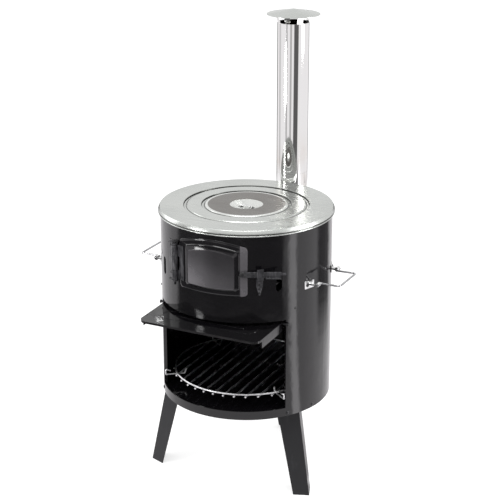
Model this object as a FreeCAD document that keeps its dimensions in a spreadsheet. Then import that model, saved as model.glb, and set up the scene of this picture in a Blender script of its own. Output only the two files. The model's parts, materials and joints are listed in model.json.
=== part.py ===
import FreeCAD, Part
import math
import os
import Sketcher

# A round outdoor stove of enamelled sheet steel on three legs: a drum with a latched fire door, a wide
# lower opening under a hinged flap, a steel hob of three nested plates and a polished flue at the back.
# Millimetres. +Z is up and the front faces -Y. The origin is on the ground under the drum's axis.
# Azimuths are degrees about the drum's axis from the front, positive towards +X.

SIZES = {
    # drum
    "drum_radius": 210, "drum_wall": 1.5, "drum_bottom": 215, "drum_top": 693.5,
    "floor_level": 231.5, "floor_rim": 4,
    # lower opening and its flap
    "opening_half_angle": 53, "opening_bottom": 236.5, "opening_top": 466, "opening_flange": 8,
    "flap_hinge_y": -125.5, "flap_hinge_z": 454, "flap_half_width": 158.5, "flap_reach": 137,
    "flap_corner": 20, "flap_sheet": 1.5, "flap_cheek": 21, "flap_cheek_reach": 112, "flap_lip": 4,
    "flap_rod_radius": 2.5, "flap_sleeve_radius": 4.2, "flap_droop": 1, "flap_rod_half": 174.4,
    "emboss_half_width": 128, "emboss_near": 46, "emboss_far": 100, "emboss_line": 5,
    "emboss_bar_half_width": 92, "emboss_bar_half_depth": 4, "emboss_rise": 0.7,
    # fire door
    "door_azimuth": 2.8, "door_half_width": 87, "door_bottom": 533, "door_top": 668,
    "door_arch_rise": 16, "door_corner": 8, "door_gap": 0.6, "door_sheet": 1.4,
    "pan_half_width": 70, "pan_margin_bottom": 12, "pan_margin_top": 13, "pan_rise": 4,
    "pan_bevel": 3.6, "door_lap": 11,
    # door hinge
    "hinge_azimuth": -24.3, "hinge_radius": 219, "hinge_pin_radius": 3, "knuckle_radius": 7.5,
    "knuckle_low": 551, "knuckle_split_low": 574.5, "knuckle_split_high": 608.5,
    "knuckle_high": 637, "knuckle_gap": 0.4, "ear_sheet": 3, "ear_gap": 1.5,
    "leaf_near": 11, "leaf_far": 25, "leaf_rivet_turn": 4.9,
    "bracket_near": 11, "bracket_far": 36, "bracket_rivet_turn": 7.5, "hinge_rivet_inset": 8,
    # latch
    "latch_azimuth": 24, "latch_level": 589, "latch_plane": 213, "latch_sheet": 2.2,
    "latch_height": 14, "latch_bar": 54, "latch_reach": 90, "latch_tip": 11,
    "latch_pin_radius": 3, "keeper_azimuth": 34.7,
    "keeper_width": 16, "keeper_sheet": 2, "keeper_plane": 222, "keeper_low": 536,
    "keeper_shelf": 581.6, "keeper_high": 604, "keeper_point": 3, "keeper_taper": 24,
    "keeper_first_rivet": 6, "keeper_rivet_pitch": 10,
    # air slots
    "slot_azimuth": 45.5, "slot_turn": 2.3, "slot_level": 562, "slot_width": 15, "slot_height": 44,
    # carrying handles
    "handle_level": 541, "handle_pivot_x": 218, "handle_reach": 270, "handle_half_grip": 50,
    "handle_half_arm": 48, "handle_wire": 2.5, "handle_bend": 6, "eye_radius": 5.5,
    "eye_low": 54.5, "eye_high": 67.5, "handle_bolt_azimuth": 69.5,
    # hob plates
    "plate_radius": 214, "plate_skirt": 14.5, "plate_level": 695, "plate_sheet": 1.5,
    "ring_seat": 153, "ring_hole": 146.5, "lid_seat": 109.7, "lid_hole": 103, "seat_depth": 4.5,
    "cup_radius": 40, "cup_floor_radius": 24, "cup_depth": 9, "cup_slot_near": 10, "cup_slot_length": 9,
    "cup_slot_half_width": 4, "lift_bar_half": 16, "lift_bar_foot": 2.8, "lift_bar_rise": 2.6,
    "lift_bar_sheet": 2.8,
    # fire bed and grate
    "bed_level": 505, "bed_sheet": 4, "bed_radius": 200, "bed_slot_pitch": 30, "bed_slot_width": 10,
    "bed_slot_half": 150, "bed_slot_step": 8, "bed_rib_half": 8, "bed_tab_half": 14,
    "bed_tab_drop": 24, "bed_tab_sheet": 2, "bed_tab_rivet_drop": 14,
    "grate_level": 268, "grate_radius": 180, "grate_wire": 2.5, "grate_pitch": 26.4,
    "hook_wire": 2.2, "hook_azimuth": 52.35, "hook_rear_azimuth": 127.65, "hook_top": 6,
    "hook_reach": 48, "hook_tip": 12,
    # legs
    "leg_azimuth": 65.5, "rear_leg_azimuth": 175.5, "leg_foot_radius": 245, "leg_top_radius": 200,
    "leg_foot_flange": 40,
    "leg_top_flange": 55, "leg_sheet": 2, "shoe_half_angle": 14, "shoe_sheet": 1.6,
    "shoe_bottom": 217, "leg_screw_angle": 11, "leg_screw_level": 222.5,
    # flue
    "flue_radius": 40, "flue_sheet": 0.7, "flue_y": 263, "flue_axis_level": 636,
    "elbow_bend": 48, "elbow_seam": 711, "flue_top": 1096, "lap_length": 28,
    "cap_radius": 67, "cap_brim": 1116.5, "cap_rise": 13, "cap_sheet": 0.9,
    "strut_width": 15, "strut_sheet": 1, "strut_low": 1070, "strut_tab": 12, "strut_spread": 7,
    "strut_azimuth": 48.5,
    "collar_sheet": 1.5, "collar_radius": 57, "collar_height": 42.5,
    # fasteners
    "rivet_radius": 2, "rivet_head": 4.2, "screw_radius": 2.5, "screw_head": 5, "nut_flats": 8,
}

doc = FreeCAD.newDocument("Stove")
sheet = doc.addObject("Spreadsheet::Sheet", "Dims")
for row, (alias, number) in enumerate(SIZES.items(), start=1):
    sheet.set(f"A{row}", alias)
    sheet.set(f"B{row}", str(number))
    sheet.setAlias(f"B{row}", alias)
doc.recompute()


class Size:
    """A number together with the sheet formula that gives it."""

    def __init__(self, value, formula):
        self.value = float(value)
        self.formula = formula

    def __add__(self, other):
        other = as_size(other)
        return Size(self.value + other.value, f"({self.formula} + {other.formula})")

    def __sub__(self, other):
        other = as_size(other)
        return Size(self.value - other.value, f"({self.formula} - {other.formula})")

    def __mul__(self, other):
        other = as_size(other)
        return Size(self.value * other.value, f"({self.formula} * {other.formula})")

    def __truediv__(self, other):
        other = as_size(other)
        return Size(self.value / other.value, f"({self.formula} / {other.formula})")

    def __radd__(self, other):
        return as_size(other) + self

    def __rsub__(self, other):
        return as_size(other) - self

    def __rmul__(self, other):
        return as_size(other) * self

    def __neg__(self):
        return Size(-self.value, f"(0 - {self.formula})")


def as_size(number):
    return number if isinstance(number, Size) else Size(number, f"({float(number):.6g})")


def dim(alias):
    """The driving size with this alias in the sheet."""
    return Size(float(sheet.get(alias)), f"Dims.{alias}")


def sine(angle):
    angle = as_size(angle)
    return Size(math.sin(math.radians(angle.value)), f"sin({angle.formula})")


def cosine(angle):
    angle = as_size(angle)
    return Size(math.cos(math.radians(angle.value)), f"cos({angle.formula})")


def root(number):
    return Size(math.sqrt(number.value), f"sqrt({number.formula})")


def bind(thing, **sizes):
    """Drive each named property of an object by its size's formula."""
    for name, number in sizes.items():
        thing.setExpression(name, as_size(number).formula)


def place(thing, x=0, y=0, z=0, yaw=None):
    """Put an object at a place, turned about the vertical, both driven by the sheet."""
    bind(thing, **{"Placement.Base.x": x, "Placement.Base.y": y, "Placement.Base.z": z})
    if yaw is not None:
        yaw = as_size(yaw)
        if abs(yaw.value) > 180:
            yaw = yaw - math.copysign(360, yaw.value)
        bind(thing, **{"Placement.Rotation.Yaw": yaw})
    return thing


def box(name, xs, ys, zs):
    """A block between the low and high x, y and z."""
    block = doc.addObject("Part::Box", name)
    bind(block, Length=xs[1] - as_size(xs[0]), Width=ys[1] - as_size(ys[0]), Height=zs[1] - as_size(zs[0]))
    return place(block, xs[0], ys[0], zs[0])


TURNS = {
    "X": FreeCAD.Rotation(FreeCAD.Vector(0, 1, 0), 90),
    "Y": FreeCAD.Rotation(FreeCAD.Vector(1, 0, 0), -90),
    "Z": FreeCAD.Rotation(),
}


def rod(name, axis, start, length, radius):
    """A round bar that runs along +X, +Y or +Z from its start."""
    bar = doc.addObject("Part::Cylinder", name)
    bar.Placement = FreeCAD.Placement(FreeCAD.Vector(), TURNS[axis])
    bind(bar, Radius=radius, Height=length)
    return place(bar, *start)


def fuse(name, pieces):
    joined = doc.addObject("Part::MultiFuse", name)
    joined.Shapes = pieces
    joined.Refine = True
    return joined


def cut(name, base, tools):
    tool = tools[0]
    if len(tools) > 1:
        tool = doc.addObject("Part::Compound", name + "_tools")
        tool.Links = tools
    rest = doc.addObject("Part::Cut", name)
    rest.Base = base
    rest.Tool = tool
    rest.Refine = True
    return rest


def common(name, first, second):
    shared = doc.addObject("Part::MultiCommon", name)
    shared.Shapes = [first, second]
    return shared


def group(name, pieces, yaw=None):
    """Several solids as one object, turned about the drum's axis."""
    bundle = doc.addObject("Part::Compound", name)
    bundle.Links = pieces
    return place(bundle, yaw=yaw)


def tube(name, axis, start, length, outer, inner):
    """A round tube that runs along +X, +Y or +Z from its start."""
    core = rod(name + "_bore", axis, start, length, inner)
    return cut(name, rod(name + "_outside", axis, start, length, outer), [core])


def band(name, inner, outer, low, high):
    """An upright ring about the drum's axis."""
    return tube(name, "Z", (0, 0, low), high - as_size(low), outer, inner)


def patch(name, inner, outer, xs, zs):
    """A curved plate on the front of the drum, as wide as xs."""
    reach = as_size(outer) + 5
    window = box(name + "_window", xs, (-reach, -reach / 2), zs)
    return common(name, band(name + "_band", inner, outer, zs[0], zs[1]), window)


def outline(sketch, points):
    """A closed outline of straight lines whose corners are driven by the sheet."""
    count = len(points)
    places = [FreeCAD.Vector(as_size(x).value, as_size(y).value, 0) for x, y in points]
    for i in range(count):
        sketch.addGeometry(Part.LineSegment(places[i], places[(i + 1) % count]))
    for i in range(count):
        sketch.addConstraint(Sketcher.Constraint("Coincident", i, 2, (i + 1) % count, 1))
    for i, (x, y) in enumerate(points):
        for kind, number in (("DistanceX", as_size(x)), ("DistanceY", as_size(y))):
            index = sketch.addConstraint(Sketcher.Constraint(kind, -1, 1, i, 1, number.value))
            sketch.setExpression(f"Constraints[{index}]", number.formula)
    return sketch


def body_outline(body, role, points):
    """A sketch on one of a body's own origin planes."""
    sketch = body.newObject("Sketcher::SketchObject", body.Label + "_outline")
    plane = [feature for feature in body.Origin.OriginFeatures if feature.Role == role][0]
    sketch.AttachmentSupport = [(plane, "")]
    sketch.MapMode = "FlatFace"
    return outline(sketch, points)


def turned(name, profile):
    """A body turned about the vertical from its (radius, height) profile."""
    body = doc.addObject("PartDesign::Body", name)
    sketch = body_outline(body, "XZ_Plane", profile)
    turning = body.newObject("PartDesign::Revolution", name + "_turning")
    turning.Profile = sketch
    turning.ReferenceAxis = (sketch, ["V_Axis"])
    turning.Angle = 360
    body.Tip = turning
    return body


def strip(name, profile, width, plane="YZ_Plane"):
    """A body of one upright profile, (y, z) or (x, z), and this wide, centred on its plane."""
    body = doc.addObject("PartDesign::Body", name)
    sketch = body_outline(body, plane, profile)
    pad = body.newObject("PartDesign::Pad", name + "_pad")
    pad.Profile = sketch
    pad.Midplane = True
    bind(pad, Length=width)
    body.Tip = pad
    return body


def rounded(name, base, radius, direction):
    """Round the straight edges of a solid that run along one axis."""
    doc.recompute()
    axes = {"X": FreeCAD.Vector(1, 0, 0), "Y": FreeCAD.Vector(0, 1, 0), "Z": FreeCAD.Vector(0, 0, 1)}
    axis = axes[direction]
    chosen = []
    for index, edge in enumerate(base.Shape.Edges, start=1):
        if isinstance(edge.Curve, Part.Line) and abs(edge.Curve.Direction.dot(axis)) > 0.999:
            chosen.append((index, radius.value, radius.value))
    fillet = doc.addObject("Part::Fillet", name)
    fillet.Base = base
    fillet.Edges = chosen
    return fillet


def dome(name, radius, y):
    """A low round head on an axis along Y: flat on the plane at y and domed towards -Y."""
    ball = doc.addObject("Part::Sphere", name)
    ball.Placement = FreeCAD.Placement(FreeCAD.Vector(), FreeCAD.Rotation(FreeCAD.Vector(1, 0, 0), 90))
    ball.Angle1 = 45
    bind(ball, Radius=radius * math.sqrt(2))
    return place(ball, 0, y + radius, 0)


def fastener(name, azimuth, level, head_y, end_y, shank, head):
    """A radial rivet or screw in the drum's wall: a shank and a low round head."""
    whole = fuse(name, [
        rod(name + "_shank", "Y", (0, head_y, 0), end_y - as_size(head_y), shank),
        dome(name + "_head", head, head_y),
    ])
    return place(group(name + "_at", [whole]), 0, 0, level, yaw=azimuth)


def hole(name, azimuth, level, radius):
    """A radial hole through the drum's wall."""
    reach = dim("drum_radius") + 15
    return place(group(name + "_at", [rod(name, "Y", (0, -reach, 0), 30, radius)]), 0, 0, level, yaw=azimuth)


def bent_wire(name, points, bend, wire):
    """A round wire through straight runs joined by tangent bends."""
    path = []
    last = points[0]
    for i in range(1, len(points) - 1):
        before = (points[i - 1] - points[i]).normalize()
        after = (points[i + 1] - points[i]).normalize()
        half_turn = (math.pi - before.getAngle(after)) / 2
        setback = bend * math.tan(half_turn)
        start = points[i] + before * setback
        end = points[i] + after * setback
        middle_way = (before + after).normalize()
        middle = points[i] + middle_way * (bend / math.cos(half_turn) - bend)
        path.append(Part.LineSegment(last, start).toShape())
        path.append(Part.Arc(start, middle, end).toShape())
        last = end
    path.append(Part.LineSegment(last, points[-1]).toShape())
    spine = Part.Wire(path)
    circle = Part.Wire([Part.Circle(points[0], points[1] - points[0], wire).toShape()])
    piece = doc.addObject("Part::Feature", name)
    piece.Shape = spine.makePipeShell([circle], True, False)
    return piece


# Sizes that several pieces share
DRUM = dim("drum_radius")
DRUM_INSIDE = DRUM - dim("drum_wall")
CLEAR = 0.06        # radial running clearance of a pin in its bore
HOLE_EASE = 0.1     # how much larger a hole is than its fastener
SHELL_EASE = 0.05   # space between a curved plate and the drum it is fixed to
nodes = []


def node(name, thing, body_yaw=None):
    """Make an object one named piece of the stove."""
    thing.Label = name
    if body_yaw is not None:
        place(thing, yaw=body_yaw)
    nodes.append((name, thing))
    return thing


def arched_prism(name, half_width, bottom, top, rise, corner, inner):
    """The fire door's front outline as a prism along Y: a flat foot, upright sides and an arched top."""
    reach = DRUM + 20
    block = box(name + "_block", (-half_width, half_width), (-reach, -inner), (bottom, top + 5))
    arch = (half_width * half_width + rise * rise) / (2 * rise)
    curve = rod(name + "_arch", "Y", (0, -reach, top - arch), reach, arch)
    return rounded(name, common(name + "_square", block, curve), corner, "Y")


def fastener_row():
    """The (azimuth, level, hole radius) of each hole in the drum's wall for a rivet or a screw."""
    rivet = dim("rivet_radius") + HOLE_EASE
    screw = dim("screw_radius") + HOLE_EASE
    rows = []
    for leg in LEG_AZIMUTHS.values():
        for side in (-1, 1):
            rows.append((leg + side * dim("leg_screw_angle"), dim("leg_screw_level"), screw))
    for azimuth in HANDLE_BOLTS:
        rows.append((azimuth, dim("handle_level"), screw))
    rows += [(azimuth, level, rivet) for azimuth, level in RIVETED_PLACES]
    return rows


LEG_AZIMUTHS = {
    "leg_front_left": -dim("leg_azimuth"),
    "leg_front_right": dim("leg_azimuth"),
    "leg_rear": dim("rear_leg_azimuth"),
}
HANDLE_BOLTS = [
    dim("handle_bolt_azimuth"), 180 - dim("handle_bolt_azimuth"),
    -dim("handle_bolt_azimuth"), dim("handle_bolt_azimuth") - 180,
]
HINGE_RIVET_AZIMUTH = dim("hinge_azimuth") - dim("bracket_rivet_turn")
LEAF_RIVET_AZIMUTH = dim("hinge_azimuth") + dim("leaf_rivet_turn")
HINGE_RIVET_LEVELS = [
    dim("knuckle_low") + dim("hinge_rivet_inset"), dim("knuckle_high") - dim("hinge_rivet_inset"),
]
KEEPER_RIVET_LEVELS = [
    dim("keeper_low") + dim("keeper_first_rivet") + i * dim("keeper_rivet_pitch") for i in range(3)
]
BED_AZIMUTHS = [as_size(60), as_size(180), as_size(-60)]
HOOK_AZIMUTHS = [
    dim("hook_azimuth"), -dim("hook_azimuth"), dim("hook_rear_azimuth"), -dim("hook_rear_azimuth"),
]
RIVETED_PLACES = (
    [(HINGE_RIVET_AZIMUTH, level) for level in HINGE_RIVET_LEVELS]
    + [(dim("keeper_azimuth"), level) for level in KEEPER_RIVET_LEVELS]
    + [(azimuth, dim("bed_level") - dim("bed_tab_rivet_drop")) for azimuth in BED_AZIMUTHS]
)
SLOT_AZIMUTHS = [
    dim("slot_turn") + turn for turn in
    (dim("slot_azimuth"), -dim("slot_azimuth"), 180 - dim("slot_azimuth"), dim("slot_azimuth") - 180)
]
FLUE_RIVET_SPOTS = [(side_x, side_z) for side_x in (-1, 1) for side_z in (-1, 1)]
FLUE_RIVET_OFFSET = 34
HOOK_BEND = 3.5
# The elbow's quarter turn runs from its upright end, behind its centre, to its level end, below it.
ELBOW_TURN = FreeCAD.Rotation(
    FreeCAD.Vector(0, 1, 0), FreeCAD.Vector(0, 0, -1), FreeCAD.Vector(-1, 0, 0), "XYZ")


def air_slot(name, azimuth):
    """One upright slot with round ends, through the drum's wall."""
    half = dim("slot_width") / 2
    straight = dim("slot_height") / 2 - half
    reach = DRUM + 5
    ends = [
        rod(name + "_upper", "Y", (0, -reach, straight), 20, half),
        rod(name + "_lower", "Y", (0, -reach, -straight), 20, half),
    ]
    middle = box(name + "_middle", (-half, half), (-reach, -reach + 20), (-straight, straight))
    return place(group(name, [fuse(name + "_whole", ends + [middle])]), 0, 0, dim("slot_level"), yaw=azimuth)


def drum_shell():
    wall = band("wall", DRUM_INSIDE, DRUM, dim("drum_bottom"), dim("drum_top"))
    opening = doc.addObject("Part::Cylinder", "lower_opening")
    bind(opening, Radius=DRUM + 5, Height=dim("opening_top") - dim("opening_bottom"),
         Angle=2 * dim("opening_half_angle"))
    place(opening, 0, 0, dim("opening_bottom"), yaw=-90 - dim("opening_half_angle"))
    lap = dim("door_lap")
    door_hole = arched_prism("door_hole", dim("door_half_width") - lap, dim("door_bottom") + lap,
                             dim("door_top") - lap, dim("door_arch_rise") - 2, dim("door_corner"), 150)
    door_hole = group("door_hole_at", [door_hole], yaw=dim("door_azimuth"))
    slots = [air_slot(f"slot_{i}", azimuth) for i, azimuth in enumerate(SLOT_AZIMUTHS)]
    flue_hole = rod("flue_hole", "Y", (0, DRUM - 20, dim("flue_axis_level")), 30,
                    dim("flue_radius") - dim("flue_sheet") - 0.2)
    holes = [hole(f"hole_{i}", *row) for i, row in enumerate(fastener_row())]
    flue_holes = [
        rod(f"flue_hole_{i}", "Y",
            (side_x * FLUE_RIVET_OFFSET, DRUM - 20, dim("flue_axis_level") + side_z * FLUE_RIVET_OFFSET),
            30, dim("rivet_radius") + HOLE_EASE)
        for i, (side_x, side_z) in enumerate(FLUE_RIVET_SPOTS)
    ]
    opened = cut("wall_opened", wall, [opening, door_hole, flue_hole] + slots + holes + flue_holes)
    flanges = []
    for side, low_x, high_x in (("left", -dim("drum_wall"), 0), ("right", 0, dim("drum_wall"))):
        flange = box(f"opening_flange_{side}", (low_x, high_x),
                     (-(DRUM - 0.4), -(DRUM - dim("opening_flange"))),
                     (dim("opening_bottom"), dim("opening_top")))
        sign = -1 if side == "left" else 1
        flanges.append(group(f"opening_flange_{side}_at", [flange], yaw=sign * dim("opening_half_angle")))
    flanged = fuse("wall_flanged", [opened] + flanges)
    rod_hole = rod("flap_rod_hole", "X", (-DRUM, dim("flap_hinge_y"), dim("flap_hinge_z")), 2 * DRUM,
                   dim("flap_rod_radius") + HOLE_EASE)
    node("drum_shell", cut("drum_shell", flanged, [rod_hole]))


def drum_floor():
    outer = DRUM_INSIDE - SHELL_EASE
    level = dim("floor_level")
    sheet_top = level + dim("drum_wall")
    node("drum_floor", turned("drum_floor", [
        (0, level), (outer, level), (outer, sheet_top + dim("floor_rim")),
        (outer - dim("drum_wall"), sheet_top + dim("floor_rim")), (outer - dim("drum_wall"), sheet_top),
        (0, sheet_top),
    ]))


def leg_section(name, spine, flange, level):
    """The angle section of a leg, spine outwards, at one height."""
    wide = flange * math.sqrt(0.5)
    skin = dim("leg_sheet") * math.sqrt(0.5)
    sketch = outline(doc.addObject("Sketcher::SketchObject", name), [
        (0, -spine), (wide, wide - spine), (wide - skin, wide - spine + skin),
        (0, 2 * skin - spine), (skin - wide, wide - spine + skin), (-wide, wide - spine),
    ])
    return place(sketch, 0, 0, level)


def leg(name, azimuth):
    """A tapered angle leg with a curved shoe that is screwed to the inside of the drum's skirt."""
    top = dim("floor_level") - 0.1
    taper = doc.addObject("Part::Loft", name + "_taper")
    taper.Sections = [
        leg_section(name + "_foot", dim("leg_foot_radius"), dim("leg_foot_flange"), 0),
        leg_section(name + "_head", dim("leg_top_radius"), dim("leg_top_flange"), top),
    ]
    taper.Solid = True
    taper.Ruled = True
    outer = DRUM_INSIDE - SHELL_EASE
    half_shoe = outer * sine(dim("shoe_half_angle"))
    shoe = patch(name + "_shoe", outer - dim("shoe_sheet"), outer, (-half_shoe, half_shoe),
                 (dim("shoe_bottom"), top))
    seat = patch(name + "_seat", outer - 45, outer, (-half_shoe, half_shoe), (top - dim("leg_sheet"), top))
    whole = fuse(name + "_whole", [taper, shoe, seat])
    screw_holes = []
    for side in (-1, 1):
        drilled = rod(f"{name}_drilled_{side + 1}", "Y", (0, -outer - 2, dim("leg_screw_level")), 12,
                      dim("screw_radius") + HOLE_EASE)
        angle = side * dim("leg_screw_angle")
        screw_holes.append(group(f"{name}_drilled_{side + 1}_at", [drilled], yaw=angle))
    node(name, cut(name, whole, screw_holes), azimuth)


def leg_fasteners():
    screws = []
    nuts = []
    inner = DRUM_INSIDE - SHELL_EASE - dim("shoe_sheet")
    for i, azimuth in enumerate(LEG_AZIMUTHS.values()):
        for side in (-1, 1):
            at = azimuth + side * dim("leg_screw_angle")
            name = f"leg_screw_{i}_{side + 1}"
            screws.append(fastener(name, at, dim("leg_screw_level"), -DRUM - 0.2, 5 - inner,
                                   dim("screw_radius"), dim("screw_head")))
            nut = box(f"leg_nut_{i}_{side + 1}", (-dim("nut_flats") / 2, dim("nut_flats") / 2),
                      (0.2 - inner, 4 - inner), (-dim("nut_flats") / 2, dim("nut_flats") / 2))
            bore = rod(f"leg_nut_bore_{i}_{side + 1}", "Y", (0, -inner - 1, 0), 8,
                       dim("screw_radius") + HOLE_EASE)
            nut = cut(f"leg_nut_cut_{i}_{side + 1}", nut, [bore])
            nut_at = group(f"leg_nut_at_{i}_{side + 1}", [nut])
            nuts.append(place(nut_at, 0, 0, dim("leg_screw_level"), yaw=at))
    node("leg_screws", group("leg_screws", screws))
    node("leg_nuts", group("leg_nuts", nuts))


def fire_door():
    """The pressed door: a curved sheet with an arched top and a raised, bevelled pan, hollow behind."""
    inner = DRUM + dim("door_gap")
    skin = dim("door_sheet")
    low = dim("door_bottom") - 20
    high = dim("door_top") + 20
    full = arched_prism("door_outline", dim("door_half_width"), dim("door_bottom"), dim("door_top"),
                        dim("door_arch_rise"), dim("door_corner"), 120)
    flat = common("door_flat", band("door_flat_band", inner, inner + skin, low, high), full)
    pan_bottom = dim("door_bottom") + dim("pan_margin_bottom")
    pan_top = dim("door_top") - dim("pan_margin_top")
    pan_outline = arched_prism("pan_outline", dim("pan_half_width"), pan_bottom, pan_top,
                               dim("door_arch_rise") - 4, dim("door_corner"), 120)
    pan = common("pan_block", band("pan_band", inner, inner + skin + dim("pan_rise"), low, high), pan_outline)
    doc.recompute()
    face_radius = (inner + skin + dim("pan_rise")).value
    rim = []
    for index, edge in enumerate(pan.Shape.Edges, start=1):
        spots = [edge.valueAt(edge.FirstParameter + part * (edge.LastParameter - edge.FirstParameter))
                 for part in (0, 0.5, 1)]
        if all(abs(math.hypot(spot.x, spot.y) - face_radius) < 0.01 for spot in spots):
            rim.append((index, dim("pan_bevel").value, dim("pan_bevel").value))
    bevelled = doc.addObject("Part::Chamfer", "pan_bevelled")
    bevelled.Base = pan
    bevelled.Edges = rim
    hollow_outline = arched_prism("pan_hollow_outline", dim("pan_half_width") - dim("pan_bevel") - skin,
                                  pan_bottom + dim("pan_bevel") + skin, pan_top - dim("pan_bevel") - skin,
                                  dim("door_arch_rise") - 5, dim("door_corner") / 2, 120)
    hollow = common("pan_hollow", band("pan_hollow_band", inner - 1, inner + dim("pan_rise"), low, high),
                    hollow_outline)
    joined = fuse("door_joined", [flat, bevelled])
    turn = dim("latch_azimuth") - dim("door_azimuth")
    pivot = place(group("door_pivot_hole_at", [
        rod("door_pivot_hole", "Y", (0, -DRUM - 20, 0), 40, dim("latch_pin_radius") + HOLE_EASE)]),
        0, 0, dim("latch_level"), yaw=turn)
    rivets = [hole(f"door_rivet_hole_{i}", LEAF_RIVET_AZIMUTH - dim("door_azimuth"), level,
                   dim("rivet_radius") + HOLE_EASE) for i, level in enumerate(HINGE_RIVET_LEVELS)]
    node("fire_door", cut("fire_door", joined, [hollow, pivot] + rivets), dim("door_azimuth"))


def hinge_tube(name, low, high):
    return tube(name, "Z", (0, -dim("hinge_radius"), low), high - as_size(low), dim("knuckle_radius"),
                dim("hinge_pin_radius") + CLEAR)


def hinge_leaf():
    """The hinge half on the door: two rolled knuckles and a curved leaf riveted to the door's margin."""
    inner = DRUM + dim("door_gap") + dim("door_sheet") + SHELL_EASE
    skin = dim("drum_wall")
    gap = dim("knuckle_gap")
    spans = [(dim("knuckle_low"), dim("knuckle_split_low") - gap),
             (dim("knuckle_split_high") + gap, dim("knuckle_high"))]
    pieces = [patch("leaf_plate", inner, inner + skin, (dim("leaf_near"), dim("leaf_far")),
                    (dim("knuckle_low"), dim("knuckle_high")))]
    for i, (low, high) in enumerate(spans):
        pieces.append(hinge_tube(f"leaf_knuckle_{i}", low, high))
        pieces.append(box(f"leaf_web_{i}", (dim("hinge_pin_radius") + 0.5, dim("leaf_near") + 2),
                          (-inner - skin - 0.3, -inner), (low, high)))
    bores = [rod("leaf_bore", "Z", (0, -dim("hinge_radius"), dim("knuckle_low") - 1), 100,
                 dim("hinge_pin_radius") + CLEAR)]
    bores += [hole(f"leaf_rivet_hole_{i}", dim("leaf_rivet_turn"), level, dim("rivet_radius") + HOLE_EASE)
              for i, level in enumerate(HINGE_RIVET_LEVELS)]
    node("door_hinge_leaf", cut("door_hinge_leaf", fuse("leaf_whole", pieces), bores), dim("hinge_azimuth"))
    rivets = [fastener(f"leaf_rivet_{i}", LEAF_RIVET_AZIMUTH, level, -(inner + skin + 0.1),
                       -(DRUM + dim("door_gap")), dim("rivet_radius"), dim("rivet_head") - 0.8)
              for i, level in enumerate(HINGE_RIVET_LEVELS)]
    node("door_leaf_rivets", group("door_leaf_rivets", rivets))


def hinge_bracket():
    """The hinge half on the drum: a curved plate, the middle knuckle and two ears that hold the pin."""
    inner = DRUM + SHELL_EASE
    outer = inner + dim("drum_wall")
    gap = dim("knuckle_gap")
    axis_y = -dim("hinge_radius")
    ear_low = dim("knuckle_low") - dim("ear_gap") - dim("ear_sheet")
    ear_high = dim("knuckle_high") + dim("ear_gap")
    pieces = [
        patch("bracket_plate", inner, outer, (-dim("bracket_far"), -dim("bracket_near")),
              (ear_low, ear_high + dim("ear_sheet"))),
        hinge_tube("bracket_knuckle", dim("knuckle_split_low") + gap, dim("knuckle_split_high") - gap),
        box("bracket_web", (-dim("bracket_near") - 2, -2), (-outer - 2.2, -inner - 0.4),
            (dim("knuckle_split_low") + gap, dim("knuckle_split_high") - gap)),
    ]
    for name, low in (("low", ear_low), ("high", ear_high)):
        high = low + dim("ear_sheet")
        pieces.append(rod(f"ear_{name}", "Z", (0, axis_y, low), dim("ear_sheet"), dim("knuckle_radius")))
        pieces.append(box(f"ear_{name}_arm", (-20, 0), (axis_y - 3, -inner - 0.2), (low, high)))
    bores = [rod("bracket_bore", "Z", (0, axis_y, ear_low - 1), 110, dim("hinge_pin_radius") + CLEAR)]
    bores += [hole(f"bracket_rivet_hole_{i}", -dim("bracket_rivet_turn"), level,
                   dim("rivet_radius") + HOLE_EASE)
              for i, level in enumerate(HINGE_RIVET_LEVELS)]
    node("hinge_bracket", cut("hinge_bracket", fuse("bracket_whole", pieces), bores), dim("hinge_azimuth"))
    rivets = [fastener(f"bracket_rivet_{i}", HINGE_RIVET_AZIMUTH, level, -(outer + 0.1), 2 - DRUM_INSIDE,
                       dim("rivet_radius"), dim("rivet_head")) for i, level in enumerate(HINGE_RIVET_LEVELS)]
    node("hinge_bracket_rivets", group("hinge_bracket_rivets", rivets))
    head = ear_high + dim("ear_sheet")
    pin = fuse("pin_whole", [
        rod("pin_shank", "Z", (0, axis_y, ear_low - 9), head - ear_low + 9, dim("hinge_pin_radius")),
        rod("pin_head", "Z", (0, axis_y, head + 0.1), 3, dim("hinge_pin_radius") + 2.4),
        rod("pin_neck", "Z", (0, axis_y, head - 1), 2, dim("hinge_pin_radius")),
    ])
    node("hinge_pin", pin, dim("hinge_azimuth"))


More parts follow.
